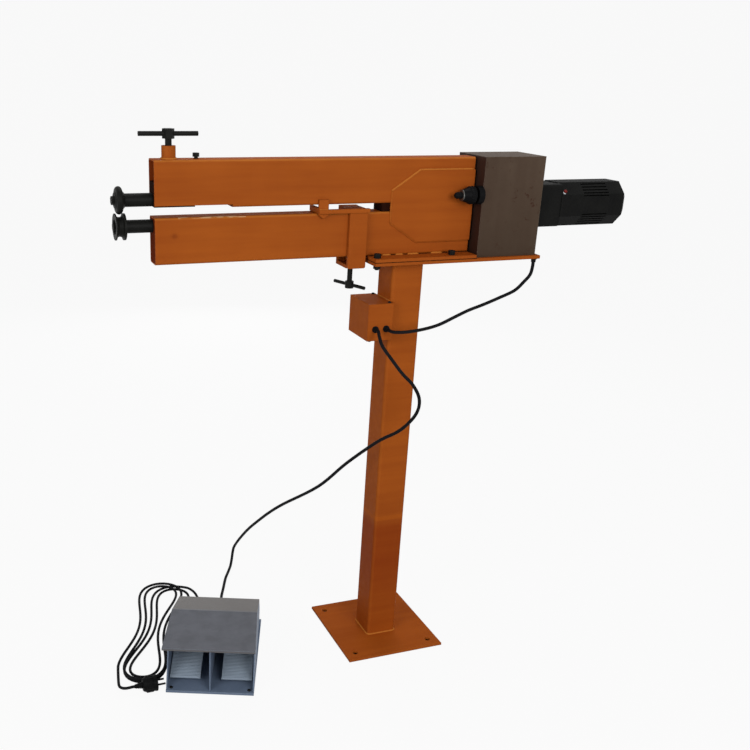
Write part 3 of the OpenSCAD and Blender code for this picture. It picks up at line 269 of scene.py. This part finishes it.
class Finish:
    def __init__(self, name, owner=None, shader="Principled BSDF"):
        self.material = owner or bpy.data.materials.new(name)
        self.material.use_nodes = True
        self.tree = self.material.node_tree
        self.shader = self.tree.nodes[shader]
        self.place = self.node("ShaderNodeTexCoord", out="Object")

    def feed(self, socket, value):
        if isinstance(value, Wire):
            self.tree.links.new(value.socket, socket)
        else:
            socket.default_value = value

    def node(self, kind, settings=None, inputs=None, out=0):
        made = self.tree.nodes.new(kind)
        for name, value in (settings or {}).items():
            if name == "stops":
                ramp = made.color_ramp
                while len(ramp.elements) < len(value):
                    ramp.elements.new(0.5)
                for stop, (at, shade) in zip(ramp.elements, value):
                    stop.position, stop.color = at, (shade, shade, shade, 1)
            else:
                setattr(made, name, value)
        for name, value in (inputs or {}).items():
            self.feed(made.inputs[name], value)
        return Wire(self, made.outputs[out])

    def stretched(self, scale):
        return self.node("ShaderNodeMapping", {}, {"Vector": self.place, "Scale": scale})

    def cloud(self, scale, detail=3.0, rough=0.55, place=None):
        return self.node("ShaderNodeTexNoise", {}, {
            "Vector": place or self.place, "Scale": scale, "Detail": detail, "Roughness": rough})

    def ramp(self, value, *stops):
        return self.node("ShaderNodeValToRGB", {"stops": stops}, {"Fac": value})

    def mix(self, mask, a, b):
        return self.node("ShaderNodeMix", {"data_type": "RGBA"}, {0: mask, 6: a, 7: b}, out=2)

    def axis(self, name):
        return self.node("ShaderNodeSeparateXYZ", {}, {"Vector": self.place}, out=name)

    def near(self, value, at, width):
        return self.node("ShaderNodeMath", {"operation": "COMPARE"}, {0: value, 1: at, 2: width})

    def around(self, at, half):
        x, y, z = (self.near(self.axis(a), m, h) for a, m, h in zip("XYZ", at, half))
        return x * y * z

    def edges(self, radius):
        rounded = self.node("ShaderNodeBevel", {"samples": 4}, {"Radius": radius})
        flat = self.node("ShaderNodeNewGeometry", out="Normal")
        facing = self.node("ShaderNodeVectorMath", {"operation": "DOT_PRODUCT"}, {
            0: rounded, 1: flat}, out="Value")
        return rounded, 1 - facing

    def rising(self):
        return self.node("ShaderNodeSeparateXYZ", {}, {
            "Vector": self.node("ShaderNodeNewGeometry", out="Normal")}, out="Z")

    def corners(self):
        across = self.node("ShaderNodeVectorMath", {"operation": "ABSOLUTE"}, {
            0: self.node("ShaderNodeNewGeometry", out="True Normal")})
        x, y, z = (self.node("ShaderNodeSeparateXYZ", {}, {"Vector": across}, out=a) for a in "XYZ")
        return x * y + y * z + x * z

    def bump(self, height, distance, strength=1.0, normal=None):
        inputs = {"Height": height, "Distance": distance, "Strength": strength}
        if normal:
            inputs["Normal"] = normal
        return self.node("ShaderNodeBump", {}, inputs)

    def done(self, shine, **sockets):
        self.shader.inputs["Specular IOR Level"].default_value = shine
        for name, value in sockets.items():
            self.feed(self.shader.inputs[name.replace("_", " ")], value)
        print("finish:", self.material.name, len(self.tree.nodes), "nodes")
        return self.material


# %% [markdown]
# The frame is mild steel with a brushed coat of orange-brown machine enamel. It
# is even from a step away, with faint blotches where the coat is thicker and brush
# marks along the beams. A lighter line runs along the edges and rounded corners,
# partly paint rubbed thin and partly a painted highlight, so it is strongest where
# a face turns up to the light and faint on the undersides. Knocks have chipped the
# lower beam's front edge to the primer, one rust spot shows through its face, and
# the foot of the post has had a second, redder coat. Between the tube walls the
# enamel is painted browner as painted shade. A plain colour would look like
# plastic, so noise at three scales breaks it up, and masks by place put the rubbed
# edges, the chips and the rust where the real machine has them.

# %% Frame enamel
SECOND_COAT = ((0.0, 0.25), (0.10, 0.45), (0.22, 1.0), (0.322, 0.9), (0.347, 0.0))
ABOVE_BASE = ((0.006, 0.0), (0.008, 0.6))
COAT_EDGE, COAT_EDGE_HALF = 0.351, 0.006
CHIPPED_AT, CHIPPED_HALF = (-0.47, -0.022, 1.1272), (0.075, 0.0032, 0.0016)
RUST_AT = (-0.554, -0.025, 1.089)
TUBE_SHADE_AT, TUBE_SHADE_HALF = ((-0.33, 0.0, 1.197), (-0.33, 0.0, 1.078)), (0.268, 0.0224, 0.0475)


def frame_enamel(name, wear_and_highlight):
    f = Finish(name)
    broad, fine = f.cloud(4.0), f.cloud(55.0, 2.0)
    brushed = f.cloud(60.0, 2.0, place=f.stretched((0.06, 1.0, 1.0)))
    rounded, edge = f.edges(0.0022)
    z = f.axis("Z")
    thick = f.ramp(broad * 0.6 + brushed * 0.4, (0.38, 0.0), (0.62, 1.0))
    coat = f.mix(thick, linear("#914512"), linear("#9e4f16"))
    coat = f.mix(f.ramp(z, *SECOND_COAT) * f.ramp(z, *ABOVE_BASE), coat, linear("#782703"))
    coat = f.mix(f.near(z, COAT_EDGE, COAT_EDGE_HALF) * 0.25, coat, linear("#b25a14"))
    # Lighter edges and corners: partly rubbed paint, partly a painted highlight that is kept mostly to faces
    # turning up to the light.
    worn_and_lit = f.ramp(f.corners() * (0.6 + fine * 0.8), (0.16, 0.0), (0.50, 1.0))
    worn_and_lit = worn_and_lit + f.ramp(edge * (0.55 + fine), (0.10, 0.0), (0.36, 1.0)) * (1 - worn_and_lit)
    worn_and_lit = worn_and_lit * f.ramp(f.rising() * 0.5 + 0.5, (0.50, 0.15), (0.76, 1.0))
    coat = f.mix(worn_and_lit * wear_and_highlight, coat, linear("#bd7630"))
    chips = f.ramp(f.cloud(190.0, 2.0, place=f.stretched((0.3, 1.0, 1.0))), (0.42, 0.0), (0.54, 0.55))
    coat = f.mix(chips * f.around(CHIPPED_AT, CHIPPED_HALF), coat, linear("#dcc296"))
    away = f.node("ShaderNodeVectorMath", {"operation": "DISTANCE"}, {0: f.place, 1: RUST_AT}, out="Value")
    rust = f.ramp(away, (0.002, 1.0), (0.009, 0.0)) * f.ramp(fine, (0.3, 0.2), (0.6, 1.0))
    coat = f.mix(rust * 0.6, coat, linear("#6a2a08"))
    # Painted shade: the enamel goes browner between the tube walls, inside the tubes.
    coat = f.mix(sum(f.around(at, TUBE_SHADE_HALF) for at in TUBE_SHADE_AT), coat, linear("#8a3a14"))
    skin = f.bump(broad * 0.6 + brushed * 0.2 + f.cloud(260.0, 2.0) * 0.12, 0.0012, 0.3, rounded)
    return f.done(0.06, Base_Color=coat, Roughness=0.52 + fine * 0.16, Normal=skin)


# %% [markdown]
# The gear cover is bare sheet: grey-brown mill scale with rust specks, scuffed
# bright along its folds. The wall that faces the beams is painted darker and
# browner as painted shade. Voronoi cells would make the specks round and even, so
# they are the peaks of a rough noise cut by a broader one, and they come in ragged
# clusters as real rust does.

# %% Bare sheet
SHADED_COVER_WALL = 0.166


def bare_sheet():
    f = Finish("bare_mill_sheet")
    broad, fine = f.cloud(7.0, 4.0), f.cloud(90.0, 3.0)
    drawn = f.cloud(14.0, 3.0, place=f.stretched((1.0, 1.0, 0.12)))
    rounded, edge = f.edges(0.0025)
    low = f.ramp(f.axis("Z") * 4 - 4, (0.15, 1.0), (0.95, 0.0))
    sheet = f.mix(f.ramp(broad, (0.3, 0.0), (0.7, 1.0)), linear("#423328"), linear("#4d3d31"))
    sheet = f.mix(f.ramp(drawn, (0.42, 0.0), (0.72, 0.4)), sheet, linear("#594c3f"))
    sheet = f.mix(low * 0.6, sheet, linear("#3b2d21"))
    # Painted shade: the wall that faces the beams is painted darker and browner.
    sheet = f.mix(f.near(f.axis("X"), SHADED_COVER_WALL, 0.0015) * 0.75, sheet, linear("#2c130d"))
    clusters = f.ramp(f.cloud(12.0, 2.0), (0.48, 0.0), (0.60, 1.0))
    rust = f.ramp(f.cloud(60.0, 5.0, 0.7), (0.58, 0.0), (0.64, 1.0)) * clusters
    sheet = f.mix(rust * 0.8, sheet, linear("#33170a"))
    sheet = f.mix(f.ramp(edge, (0.05, 0.0), (0.3, 1.0)) * 0.6, sheet, linear("#8a7d6d"))
    skin = f.bump(fine * 0.25 - rust * 0.4, 0.0008, 0.5, rounded)
    rough = 0.5 + fine * 0.2 + rust * 0.2
    return f.done(0.14, Base_Color=sheet, Roughness=rough, Metallic=0.2 - rust * 0.15, Normal=skin)


# %% [markdown]
# The shafts, rollers, bolts and T bars are oil-blacked steel. The motor is black
# paint on cast alloy, the pedal a blue-grey enamel with an orange peel, and the
# small switch parts and cords are moulded black. They share one recipe: two
# tones, a lighter rubbed edge and a fine bump, each with its own values.

# %% The other finishes
def two_tone(name, dark, pale, rubbed, rough, shine=0.1, metal=0.0, grain=200.0, relief=0.0004, rub=0.6,
             radius=0.0012):
    f = Finish(name)
    broad, fine = f.cloud(18.0), f.cloud(grain, 2.0)
    rounded, edge = f.edges(radius)
    tone = f.mix(f.ramp(broad * 0.6 + fine * 0.4, (0.36, 0.0), (0.64, 1.0)), linear(dark), linear(pale))
    tone = f.mix(f.ramp(edge, (0.06, 0.0), (0.35, rub)), tone, linear(rubbed))
    skin = f.bump(fine, relief, 0.5, rounded)
    return f.done(shine, Base_Color=tone, Metallic=metal, Roughness=rough + fine * 0.15, Normal=skin)


def pedal_enamel(name, dark, pale):
    return two_tone(name, dark, pale, "#9aa6b6", 0.42, 0.18, grain=420.0, relief=0.0006, rub=0.8, radius=0.002)


finishes = {
    "frame_paint": frame_enamel("orange_enamel", 0.45),
    "bare_sheet": bare_sheet(),
    "gear_steel": two_tone("oiled_gear_steel", "#4c4c4a", "#6a6a67", "#9a9a97", 0.30, 0.5, 0.9),
    "dark_steel": two_tone("oil_black_steel", "#0e0e0d", "#161614", "#3a3a38", 0.42, 0.08, 0.1),
    "bright_steel": two_tone("bright_steel", "#a3a5a7", "#bdbfc1", "#dcdde0", 0.22, 0.5, 0.95),
    "bronze": two_tone("bearing_bronze", "#8a6530", "#a8803c", "#c9a560", 0.32, 0.5, 0.9),
    "motor_alloy": two_tone("motor_black_paint", "#101010", "#181817", "#2e2e2d", 0.5, 0.04),
    "pedal_paint": pedal_enamel("pedal_blue_grey_enamel", "#5e6c80", "#6a788d"),
    "black_plastic": two_tone("moulded_black_plastic", "#080809", "#0d0d0e", "#202022", 0.42, 0.05),
    "black_rubber": two_tone("black_cord_rubber", "#0b0b0d", "#121215", "#202024", 0.55, 0.07, rub=0.2),
}


def dress(piece, finish):
    piece.data.materials.clear()
    piece.data.materials.append(finish)


for row in frame["record"]["subparts"]:
    dress(nodes[row["node"]], finishes[row["material_slot"]])
for cord in cords:
    dress(cord, finishes["black_rubber"])
print("dressed:", len(nodes), "solids and", len(cords), "cords")

# %% [markdown]
# The enamel is painted browner between the tube walls as painted shade, by a mask
# in the frame enamel. The spacer deep in the throat and the carriage in the upper
# beam are painted nearly black, and the blocks in the lower beam dark brown: all
# painted shade for the dim throat and tube ends. A second material on the tubes'
# inner faces would need the beams cut in two.

# %% Painted shade in the tubes and the throat
# Painted shade: the spacer and the carriage get a near-black tone, and the lower beam's blocks a dark brown,
# for the shade deep in the throat and the tube ends.
scale = two_tone("black_deep_shade", "#1a0b06", "#241009", "#3a1d10", 0.8, 0.02)
end_block_shade = two_tone("brown_end_block_shade", "#58200c", "#62260f", "#70351c", 0.8, 0.02)
for name, finish in (("throat_spacer", scale), ("swing_carriage", scale), ("lower_bearing_blocks", end_block_shade)):
    dress(nodes[name], finish)
print("dark:", scale.name, end_block_shade.name)

# %% [markdown]
# The pedal's sheets each get their own tones. The hood is a flatter grey, and
# where it slopes down to the back it is painted warmer, painted light for how that
# slope is lit. The treadles are painted a lighter blue grey, painted light that
# offsets the hood's shade on them. One colour for all of them would lose that.

# %% The pedal's own tones
HOOD_FLAT, HOOD_BLEND = 0.147, 0.0005


def hood_enamel():
    f = Finish("pedal_hood_enamel")
    fine, peel = f.cloud(30.0), f.cloud(420.0, 2.0)
    rounded, edge = f.edges(0.002)
    tone = f.mix(f.ramp(fine, (0.35, 0.0), (0.65, 1.0)), linear("#54565c"), linear("#5d5f66"))
    # Painted light: below HOOD_FLAT the rear slope takes a warmer tone for how that slope is lit.
    slope_painted_light = f.ramp(f.axis("Z"), (HOOD_FLAT - HOOD_BLEND, 0.7), (HOOD_FLAT + HOOD_BLEND, 0.0))
    tone = f.mix(slope_painted_light, tone, linear("#5f5953"))
    tone = f.mix(f.ramp(edge, (0.06, 0.0), (0.35, 0.8)), tone, linear("#8f959e"))
    skin = f.bump(peel, 0.0006, 0.5, rounded)
    return f.done(0.18, Base_Color=tone, Roughness=0.40 + peel * 0.15, Normal=skin)


# Painted light: the treadles get a lighter tone that offsets the shade the hood casts on them.
treadle_lightened_tone = pedal_enamel("treadle_enamel_lightened_for_shade", "#86939f", "#919fae")
dress(nodes["pedal_hood"], hood_enamel())
for side in ("left", "right"):
    dress(nodes[side + "_treadle"], treadle_lightened_tone)

# %% [markdown]
# Small shapes follow that a solid model leaves out. Each is a mesh made from its
# rings of points, carried by the body that it sits on and finished like its
# neighbours. A ready-made cylinder would be quicker, but rings also give ripples
# and grip ridges.

# %% Pieces made of rings
def ring_piece(name, rings, body, finish, closed=False):
    sides = len(rings[0])
    spots = [spot for ring in rings for spot in ring]
    pairs = list(zip(range(len(rings)), range(1, len(rings)))) + ([(len(rings) - 1, 0)] if closed else [])
    faces = [(a * sides + k, a * sides + (k + 1) % sides, b * sides + (k + 1) % sides, b * sides + k)
             for a, b in pairs for k in range(sides)]
    if not closed:
        last = (len(rings) - 1) * sides
        faces += [tuple(range(sides))[::-1], tuple(range(last, last + sides))]
    mesh = bpy.data.meshes.new(name)
    mesh.from_pydata(spots, [], faces)
    for face in mesh.polygons:
        face.use_smooth = len(face.vertices) == 4
    piece = bpy.data.objects.new(name, mesh)
    bpy.context.scene.collection.objects.link(piece)
    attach(piece, body)
    dress(piece, finish)
    return piece


# %% [markdown]
# Where two plates meet the maker ran a weld: a row of overlapping drops that the
# enamel only half hides. A tube with a rippled radius along the joint gives the
# drops, and a little noise keeps them from looking machined.

# %% A weld bead along a joint
WELD_SIDES, WELD_STEP = 8, 0.4


def sampled(line, step):
    spots = []
    for a, b in zip(line, line[1:]):
        count = max(1, round((b - a).length / step))
        spots += [a.lerp(b, k / count) for k in range(count)]
    return spots + [line[-1]]


def weld_bead(name, line, size, body="stand", closed=False, drop=0.0045, finish=None):
    line = sampled(line + line[:1] if closed else line, WELD_STEP * size)
    line = line[:-1] if closed else line
    count, run, total, rings = len(line), 0.0, length_of(line), []
    for i, spot in enumerate(line):
        before, after = (line[k % count if closed else min(max(k, 0), count - 1)] for k in (i - 1, i + 1))
        ahead = (after - before).normalized()
        side = ahead.cross(Z if abs(ahead.z) < 0.9 else Y).normalized()
        up = side.cross(ahead)
        radius = size * (0.82 + 0.18 * abs(math.sin(math.pi * run / drop))
                         + 0.12 * noise.noise(Vector((run * 130, size * 900, len(name)))))
        if not closed:
            radius *= min(1.0, 0.3 + min(run, total - run) / (2 * size))
        rings.append([spot + radius * (math.cos(a) * side + math.sin(a) * up)
                      for a in (math.tau * k / WELD_SIDES for k in range(WELD_SIDES))])
        run += (after - spot).length
    return ring_piece(name, rings, body, finish or weld_enamel, closed)


# Welds take the frame enamel with a stronger lighter line: rubbed paint and a painted highlight on their upper
# ridges.
weld_enamel = frame_enamel("weld_enamel", 0.75)


def round_square(half, corner, z, steps=6):
    return [Vector((i * (half - corner) + corner * math.cos(a), j * (half - corner) + corner * math.sin(a), z))
            for i, j, turn in ((1, 1, 0), (-1, 1, 1), (-1, -1, 2), (1, -1, 3))
            for a in (math.pi / 2 * (turn + k / steps) for k in range(steps + 1))]


# %% [markdown]
# The gussets are welded all round to both beams, the lower beam is stitched to
# its foot plate in short runs, and the post, the screw boss and the control box
# each have a bead. The lines come from the solids' own boxes.

# %% Welds of the stand and the head
GUSSET = ((158, 1219), (20, 1219), (-48, 1174), (-48, 1102), (20, 1057), (158, 1057))
STITCHES = ((-64, -41), (-30, -9), (1, 31), (62, 93))
FOOT_LINE = (-96, 160)
POST_HALF, POST_CORNER, BOX_SEAM_HALF = 0.040, 0.008, 0.034
BOSS_RADIUS, BOSS_SPOTS = 0.015, 48
beam_low, beam_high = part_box("lower_beam")
plate_low, plate_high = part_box("frame_foot_plate")
post_low, post_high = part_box("post_tube")
boss_low, boss_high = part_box("screw_boss")
box_low, box_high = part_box("control_box")
# A dark tone for painted shadow lines in joints, with some grime.
joint_shadow_grime = two_tone("shadow_and_grime_in_the_joint", "#241005", "#321a0b", "#4a2a14", 0.7, 0.03)
welds = []
for mark, y in (("front", beam_low[1]), ("back", beam_high[1])):
    welds.append(weld_bead("gusset_weld_" + mark, [Vector((x * MM, y, z * MM)) for x, z in GUSSET], 0.0036))
    for number, ends in enumerate(STITCHES):
        stitch = [Vector((x * MM, y, plate_high[2])) for x in ends]
        welds.append(weld_bead(f"beam_stitch_{mark}_{number}", stitch, 0.0036))
    foot = [Vector((x * MM, y, plate_high[2])) for x in FOOT_LINE]
    # Painted shadow: a thin dark cord along the lower beam's foot, where the beam meets its plate between the
    # stitches, with some grime.
    weld_bead("beam_foot_line_" + mark, foot, 0.0012, finish=joint_shadow_grime)
for mark, z in (("foot", post_low[2]), ("top", post_high[2])):
    ring = round_square(POST_HALF, POST_CORNER, z)
    welds.append(weld_bead(f"post_{mark}_weld", ring, 0.0030, closed=True))
boss_mid = (Vector(boss_low) + Vector(boss_high)) / 2
boss_mid.z = boss_low[2]
boss_ring = [boss_mid + BOSS_RADIUS * Vector((math.cos(a), math.sin(a), 0))
             for a in (math.tau * k / BOSS_SPOTS for k in range(BOSS_SPOTS))]
welds.append(weld_bead("boss_weld", boss_ring, 0.0034, closed=True))
for mark, z in (("top", box_high[2]), ("foot", box_low[2])):
    across = [Vector((box_high[0], y, z)) for y in (-BOX_SEAM_HALF, BOX_SEAM_HALF)]
    welds.append(weld_bead("box_weld_" + mark, across, 0.0022))
print("welds:", len(welds), "with", sum(len(w.data.polygons) for w in welds), "faces")

# %% [markdown]
# The fence is a bracket of flat bar, so its guide and stop have their own small
# beads, and they ride with it along the beam. Between the two bolted plates a thin
# cord of the same kind in a dark tone paints the shadow in the joint, with some
# grime.

# %% Welds of the fence, and the painted shadow line between the plates
STRAP, STOP = (-0.151, -0.111), (-0.2275, -0.2055)
STRAP_FRONT, STOP_FRONT, GUIDE_BAR = -0.0342, -0.0322, 0.009
seat = beam_high[2] + 0.0003
for mark, ends, y, z in (
        ("strap", STRAP, STRAP_FRONT, seat), ("stop_low", STOP, STOP_FRONT, seat),
        ("stop_high", STOP, STOP_FRONT, seat + GUIDE_BAR)):
    bead = weld_bead("fence_weld_" + mark, [Vector((x, y, z)) for x in ends], 0.0016, "fence", drop=0.003)
    print("fence:", bead.name)
rim = [Vector((x, y, plate_low[2])) for x, y in (
    (plate_low[0], plate_low[1]), (plate_high[0], plate_low[1]), (plate_high[0], plate_high[1]),
    (plate_low[0], plate_high[1]))]
# Painted shadow: a thin dark cord round the joint between the two plates, with some grime.
weld_bead("plate_joint_line", rim, 0.0009, closed=True, finish=joint_shadow_grime)

# %% [markdown]
# Turned details are rings about one axis, with an optional wave round the rim
# for grip: the plug's ridged sleeve and its bend relief, the selector's boot and
# its chrome ring, and the red-capped plug on the motor.

# %% Turned details
def turned(name, foot, axis, profile, body, slot, finish, flutes=0, depth=0.0, sides=48):
    axis = Vector(axis).normalized()
    side = axis.cross(X if abs(axis.x) < 0.9 else Y).normalized()
    other = axis.cross(side)
    rings = [[Vector(foot) + along * MM * axis
              + (radius - depth * (flutes > 0) * (0.5 + 0.5 * math.cos(flutes * a))) * MM
              * (math.cos(a) * side + math.sin(a) * other)
              for a in (math.tau * k / sides for k in range(sides))] for along, radius in profile]
    return ring_piece(name, rings, body, finish)


black = ("black_plastic", finishes["black_plastic"])
PLUG_GRIP = [(27, 18.9), (28.5, 20.2), (44, 20.2), (45.5, 18.9)]
PLUG_RIM = [(49, 18.8), (50, 19.7), (54, 19.7), (54.8, 18.8)]
turned("plug_grip_sleeve", plug_tip, X, PLUG_GRIP, "stand", *black, flutes=14, depth=1.4, sides=112)
turned("plug_face_rim", plug_tip, X, PLUG_RIM, "stand", *black)
for number in range(4):
    at, size = 3.0 + 4.2 * number, 5.4 + 0.75 * number
    relief = [(at, size - 0.8), (at + 0.6, size + 0.5), (at + 1.8, size + 0.6), (at + 2.4, size - 0.6)]
    turned(f"plug_relief_ring_{number}", plug_tip, X, relief, "stand", *black)

LEVER_FOOT = Vector((0.154, -0.051, 1.164))
BOOT_RIDGES = [(9, 19.9), (10, 20.6), (20, 20.2), (21.5, 18.6)]
LEVER_RING = [(36.6, 12.3), (37, 13.0), (38.4, 13.0), (39.0, 12.2), (39.0, 7.4)]
turned("selector_boot_ridges", LEVER_FOOT, -X, BOOT_RIDGES, "selector", *black, flutes=18, depth=1.0, sides=144)
turned("selector_chrome_ring", LEVER_FOOT, -X, LEVER_RING, "selector", "bright_steel", finishes["gear_steel"])

CAP_FOOT, CAP_AXIS = Vector((0.396, -0.0485, 1.163)), Vector((0, -1, 1))
CAP_SEAT = [(-1, 4.8), (2.5, 4.8), (3.5, 4.0), (5, 4.0)]
CAP = [(4.5, 4.2), (8, 4.2), (9.2, 3.4), (9.6, 1.6)]
red_cap = two_tone("red_cap_plastic", "#5c120d", "#701a13", "#8d3a30", 0.5, 0.15)
turned("motor_plug_seat", CAP_FOOT, CAP_AXIS, CAP_SEAT, "stand", "bright_steel", finishes["bright_steel"],
       flutes=6, depth=0.5)
turned("motor_plug_cap", CAP_FOOT, CAP_AXIS, CAP, "stand", "black_plastic", red_cap,
       flutes=12, depth=0.5, sides=72)

# %% [markdown]
# The picture has a plain white ground. The floor is a wide pale sheet that
# curves up behind. It is whiter to the camera than to the lamps, so it looks
# white without lighting the object from below. A flat plane would show its far
# edge. Under the base plate the floor is dark, so the anchor holes look down
# into a dark joint.

# %% Floor
BASE_HALF, FLOOR_GLOW = 0.13, 0.93


def seen_rays(f):
    rays = f.tree.nodes.new("ShaderNodeLightPath").outputs
    return sum(Wire(f, rays[f"Is {kind} Ray"]) for kind in ("Camera", "Glossy", "Transmission"))


def ground_finish():
    f = Finish("pale_floor")
    x, y = f.axis("X"), f.axis("Y")
    # Painted shade: under the base plate the floor has no glow and is coloured dark brown, so the anchor holes
    # look into shade.
    open_floor = 1 - f.near(x, 0.0, BASE_HALF) * f.near(y, 0.0, BASE_HALF)
    f.done(0.0, Base_Color=f.mix(open_floor, linear("#1c0d06"), linear("#b4b4b4")), Roughness=0.9)
    glow = f.node("ShaderNodeEmission", {}, {"Color": (1, 1, 1, 1), "Strength": 1.0})
    mixed = f.node("ShaderNodeMixShader", {}, {
        0: seen_rays(f) * open_floor * FLOOR_GLOW, 1: Wire(f, f.shader.outputs["BSDF"]), 2: glow})
    f.tree.links.new(mixed.socket, f.tree.nodes["Material Output"].inputs["Surface"])
    return f.material


def sweep_floor(width, front, back, height, bend):
    profile = [(front, 0.0)] + [
        (back - bend + bend * math.sin(a), bend - bend * math.cos(a))
        for a in (math.pi / 2 * i / 12 for i in range(13))] + [(back, height)]
    spots = [(x, y, z) for y, z in profile for x in (-width, width)]
    faces = [(2 * i, 2 * i + 1, 2 * i + 3, 2 * i + 2) for i in range(len(profile) - 1)]
    mesh = bpy.data.meshes.new("floor")
    mesh.from_pydata(spots, [], faces)
    floor = bpy.data.objects.new("floor", mesh)
    bpy.context.scene.collection.objects.link(floor)
    mesh.materials.append(ground_finish())
    for face in mesh.polygons:
        face.use_smooth = True
    return floor


floor = sweep_floor(width=14.0, front=-9.0, back=9.0, height=9.0, bend=3.0)
print("floor:", len(floor.data.polygons), "faces")

# %% [markdown]
# The light is soft and comes mostly from the front. Three round lamps stand in
# front of, beside and above the head, and a fourth behind keeps the far side
# readable without a sheen on the top faces. The sky lights the object less than
# it shows, so dark faces stay dark. One strong lamp would draw hard shadows that
# the picture does not have.

# %% Lamps and sky
def soft_lamp(name, at, aim, size, watts):
    data = bpy.data.lights.new(name, "AREA")
    data.shape, data.size, data.energy = "DISK", size, watts
    lamp = bpy.data.objects.new(name, data)
    lamp.location, lamp.visible_camera = at, False
    lamp.rotation_euler = (Vector(aim) - Vector(at)).to_track_quat("-Z", "Y").to_euler()
    bpy.context.scene.collection.objects.link(lamp)
    return lamp


HEAD = (-0.1, 0.0, 0.9)
soft_lamp("key", (0.3, -3.2, 2.0), HEAD, 2.0, 57)
soft_lamp("fill", (-3.0, -1.6, 1.6), HEAD, 1.8, 39)
soft_lamp("top", (0.4, 0.8, 3.6), HEAD, 2.0, 25)
soft_lamp("back", (0.6, 3.4, 1.3), HEAD, 2.0, 36).visible_glossy = False

SKY_LIGHT, SKY_SEEN = 0.40, 0.95
world = bpy.data.worlds.new("World")
bpy.context.scene.world = world
sky = Finish("sky", world, "Background")
sky.feed(sky.shader.inputs["Color"], (1, 1, 1, 1))
sky.feed(sky.shader.inputs["Strength"], SKY_LIGHT + (SKY_SEEN - SKY_LIGHT) * seen_rays(sky))
bpy.context.scene.view_settings.view_transform = "Standard"

# %% [markdown]
# The view layer is brought up to date at the end.

bpy.context.view_layer.update()
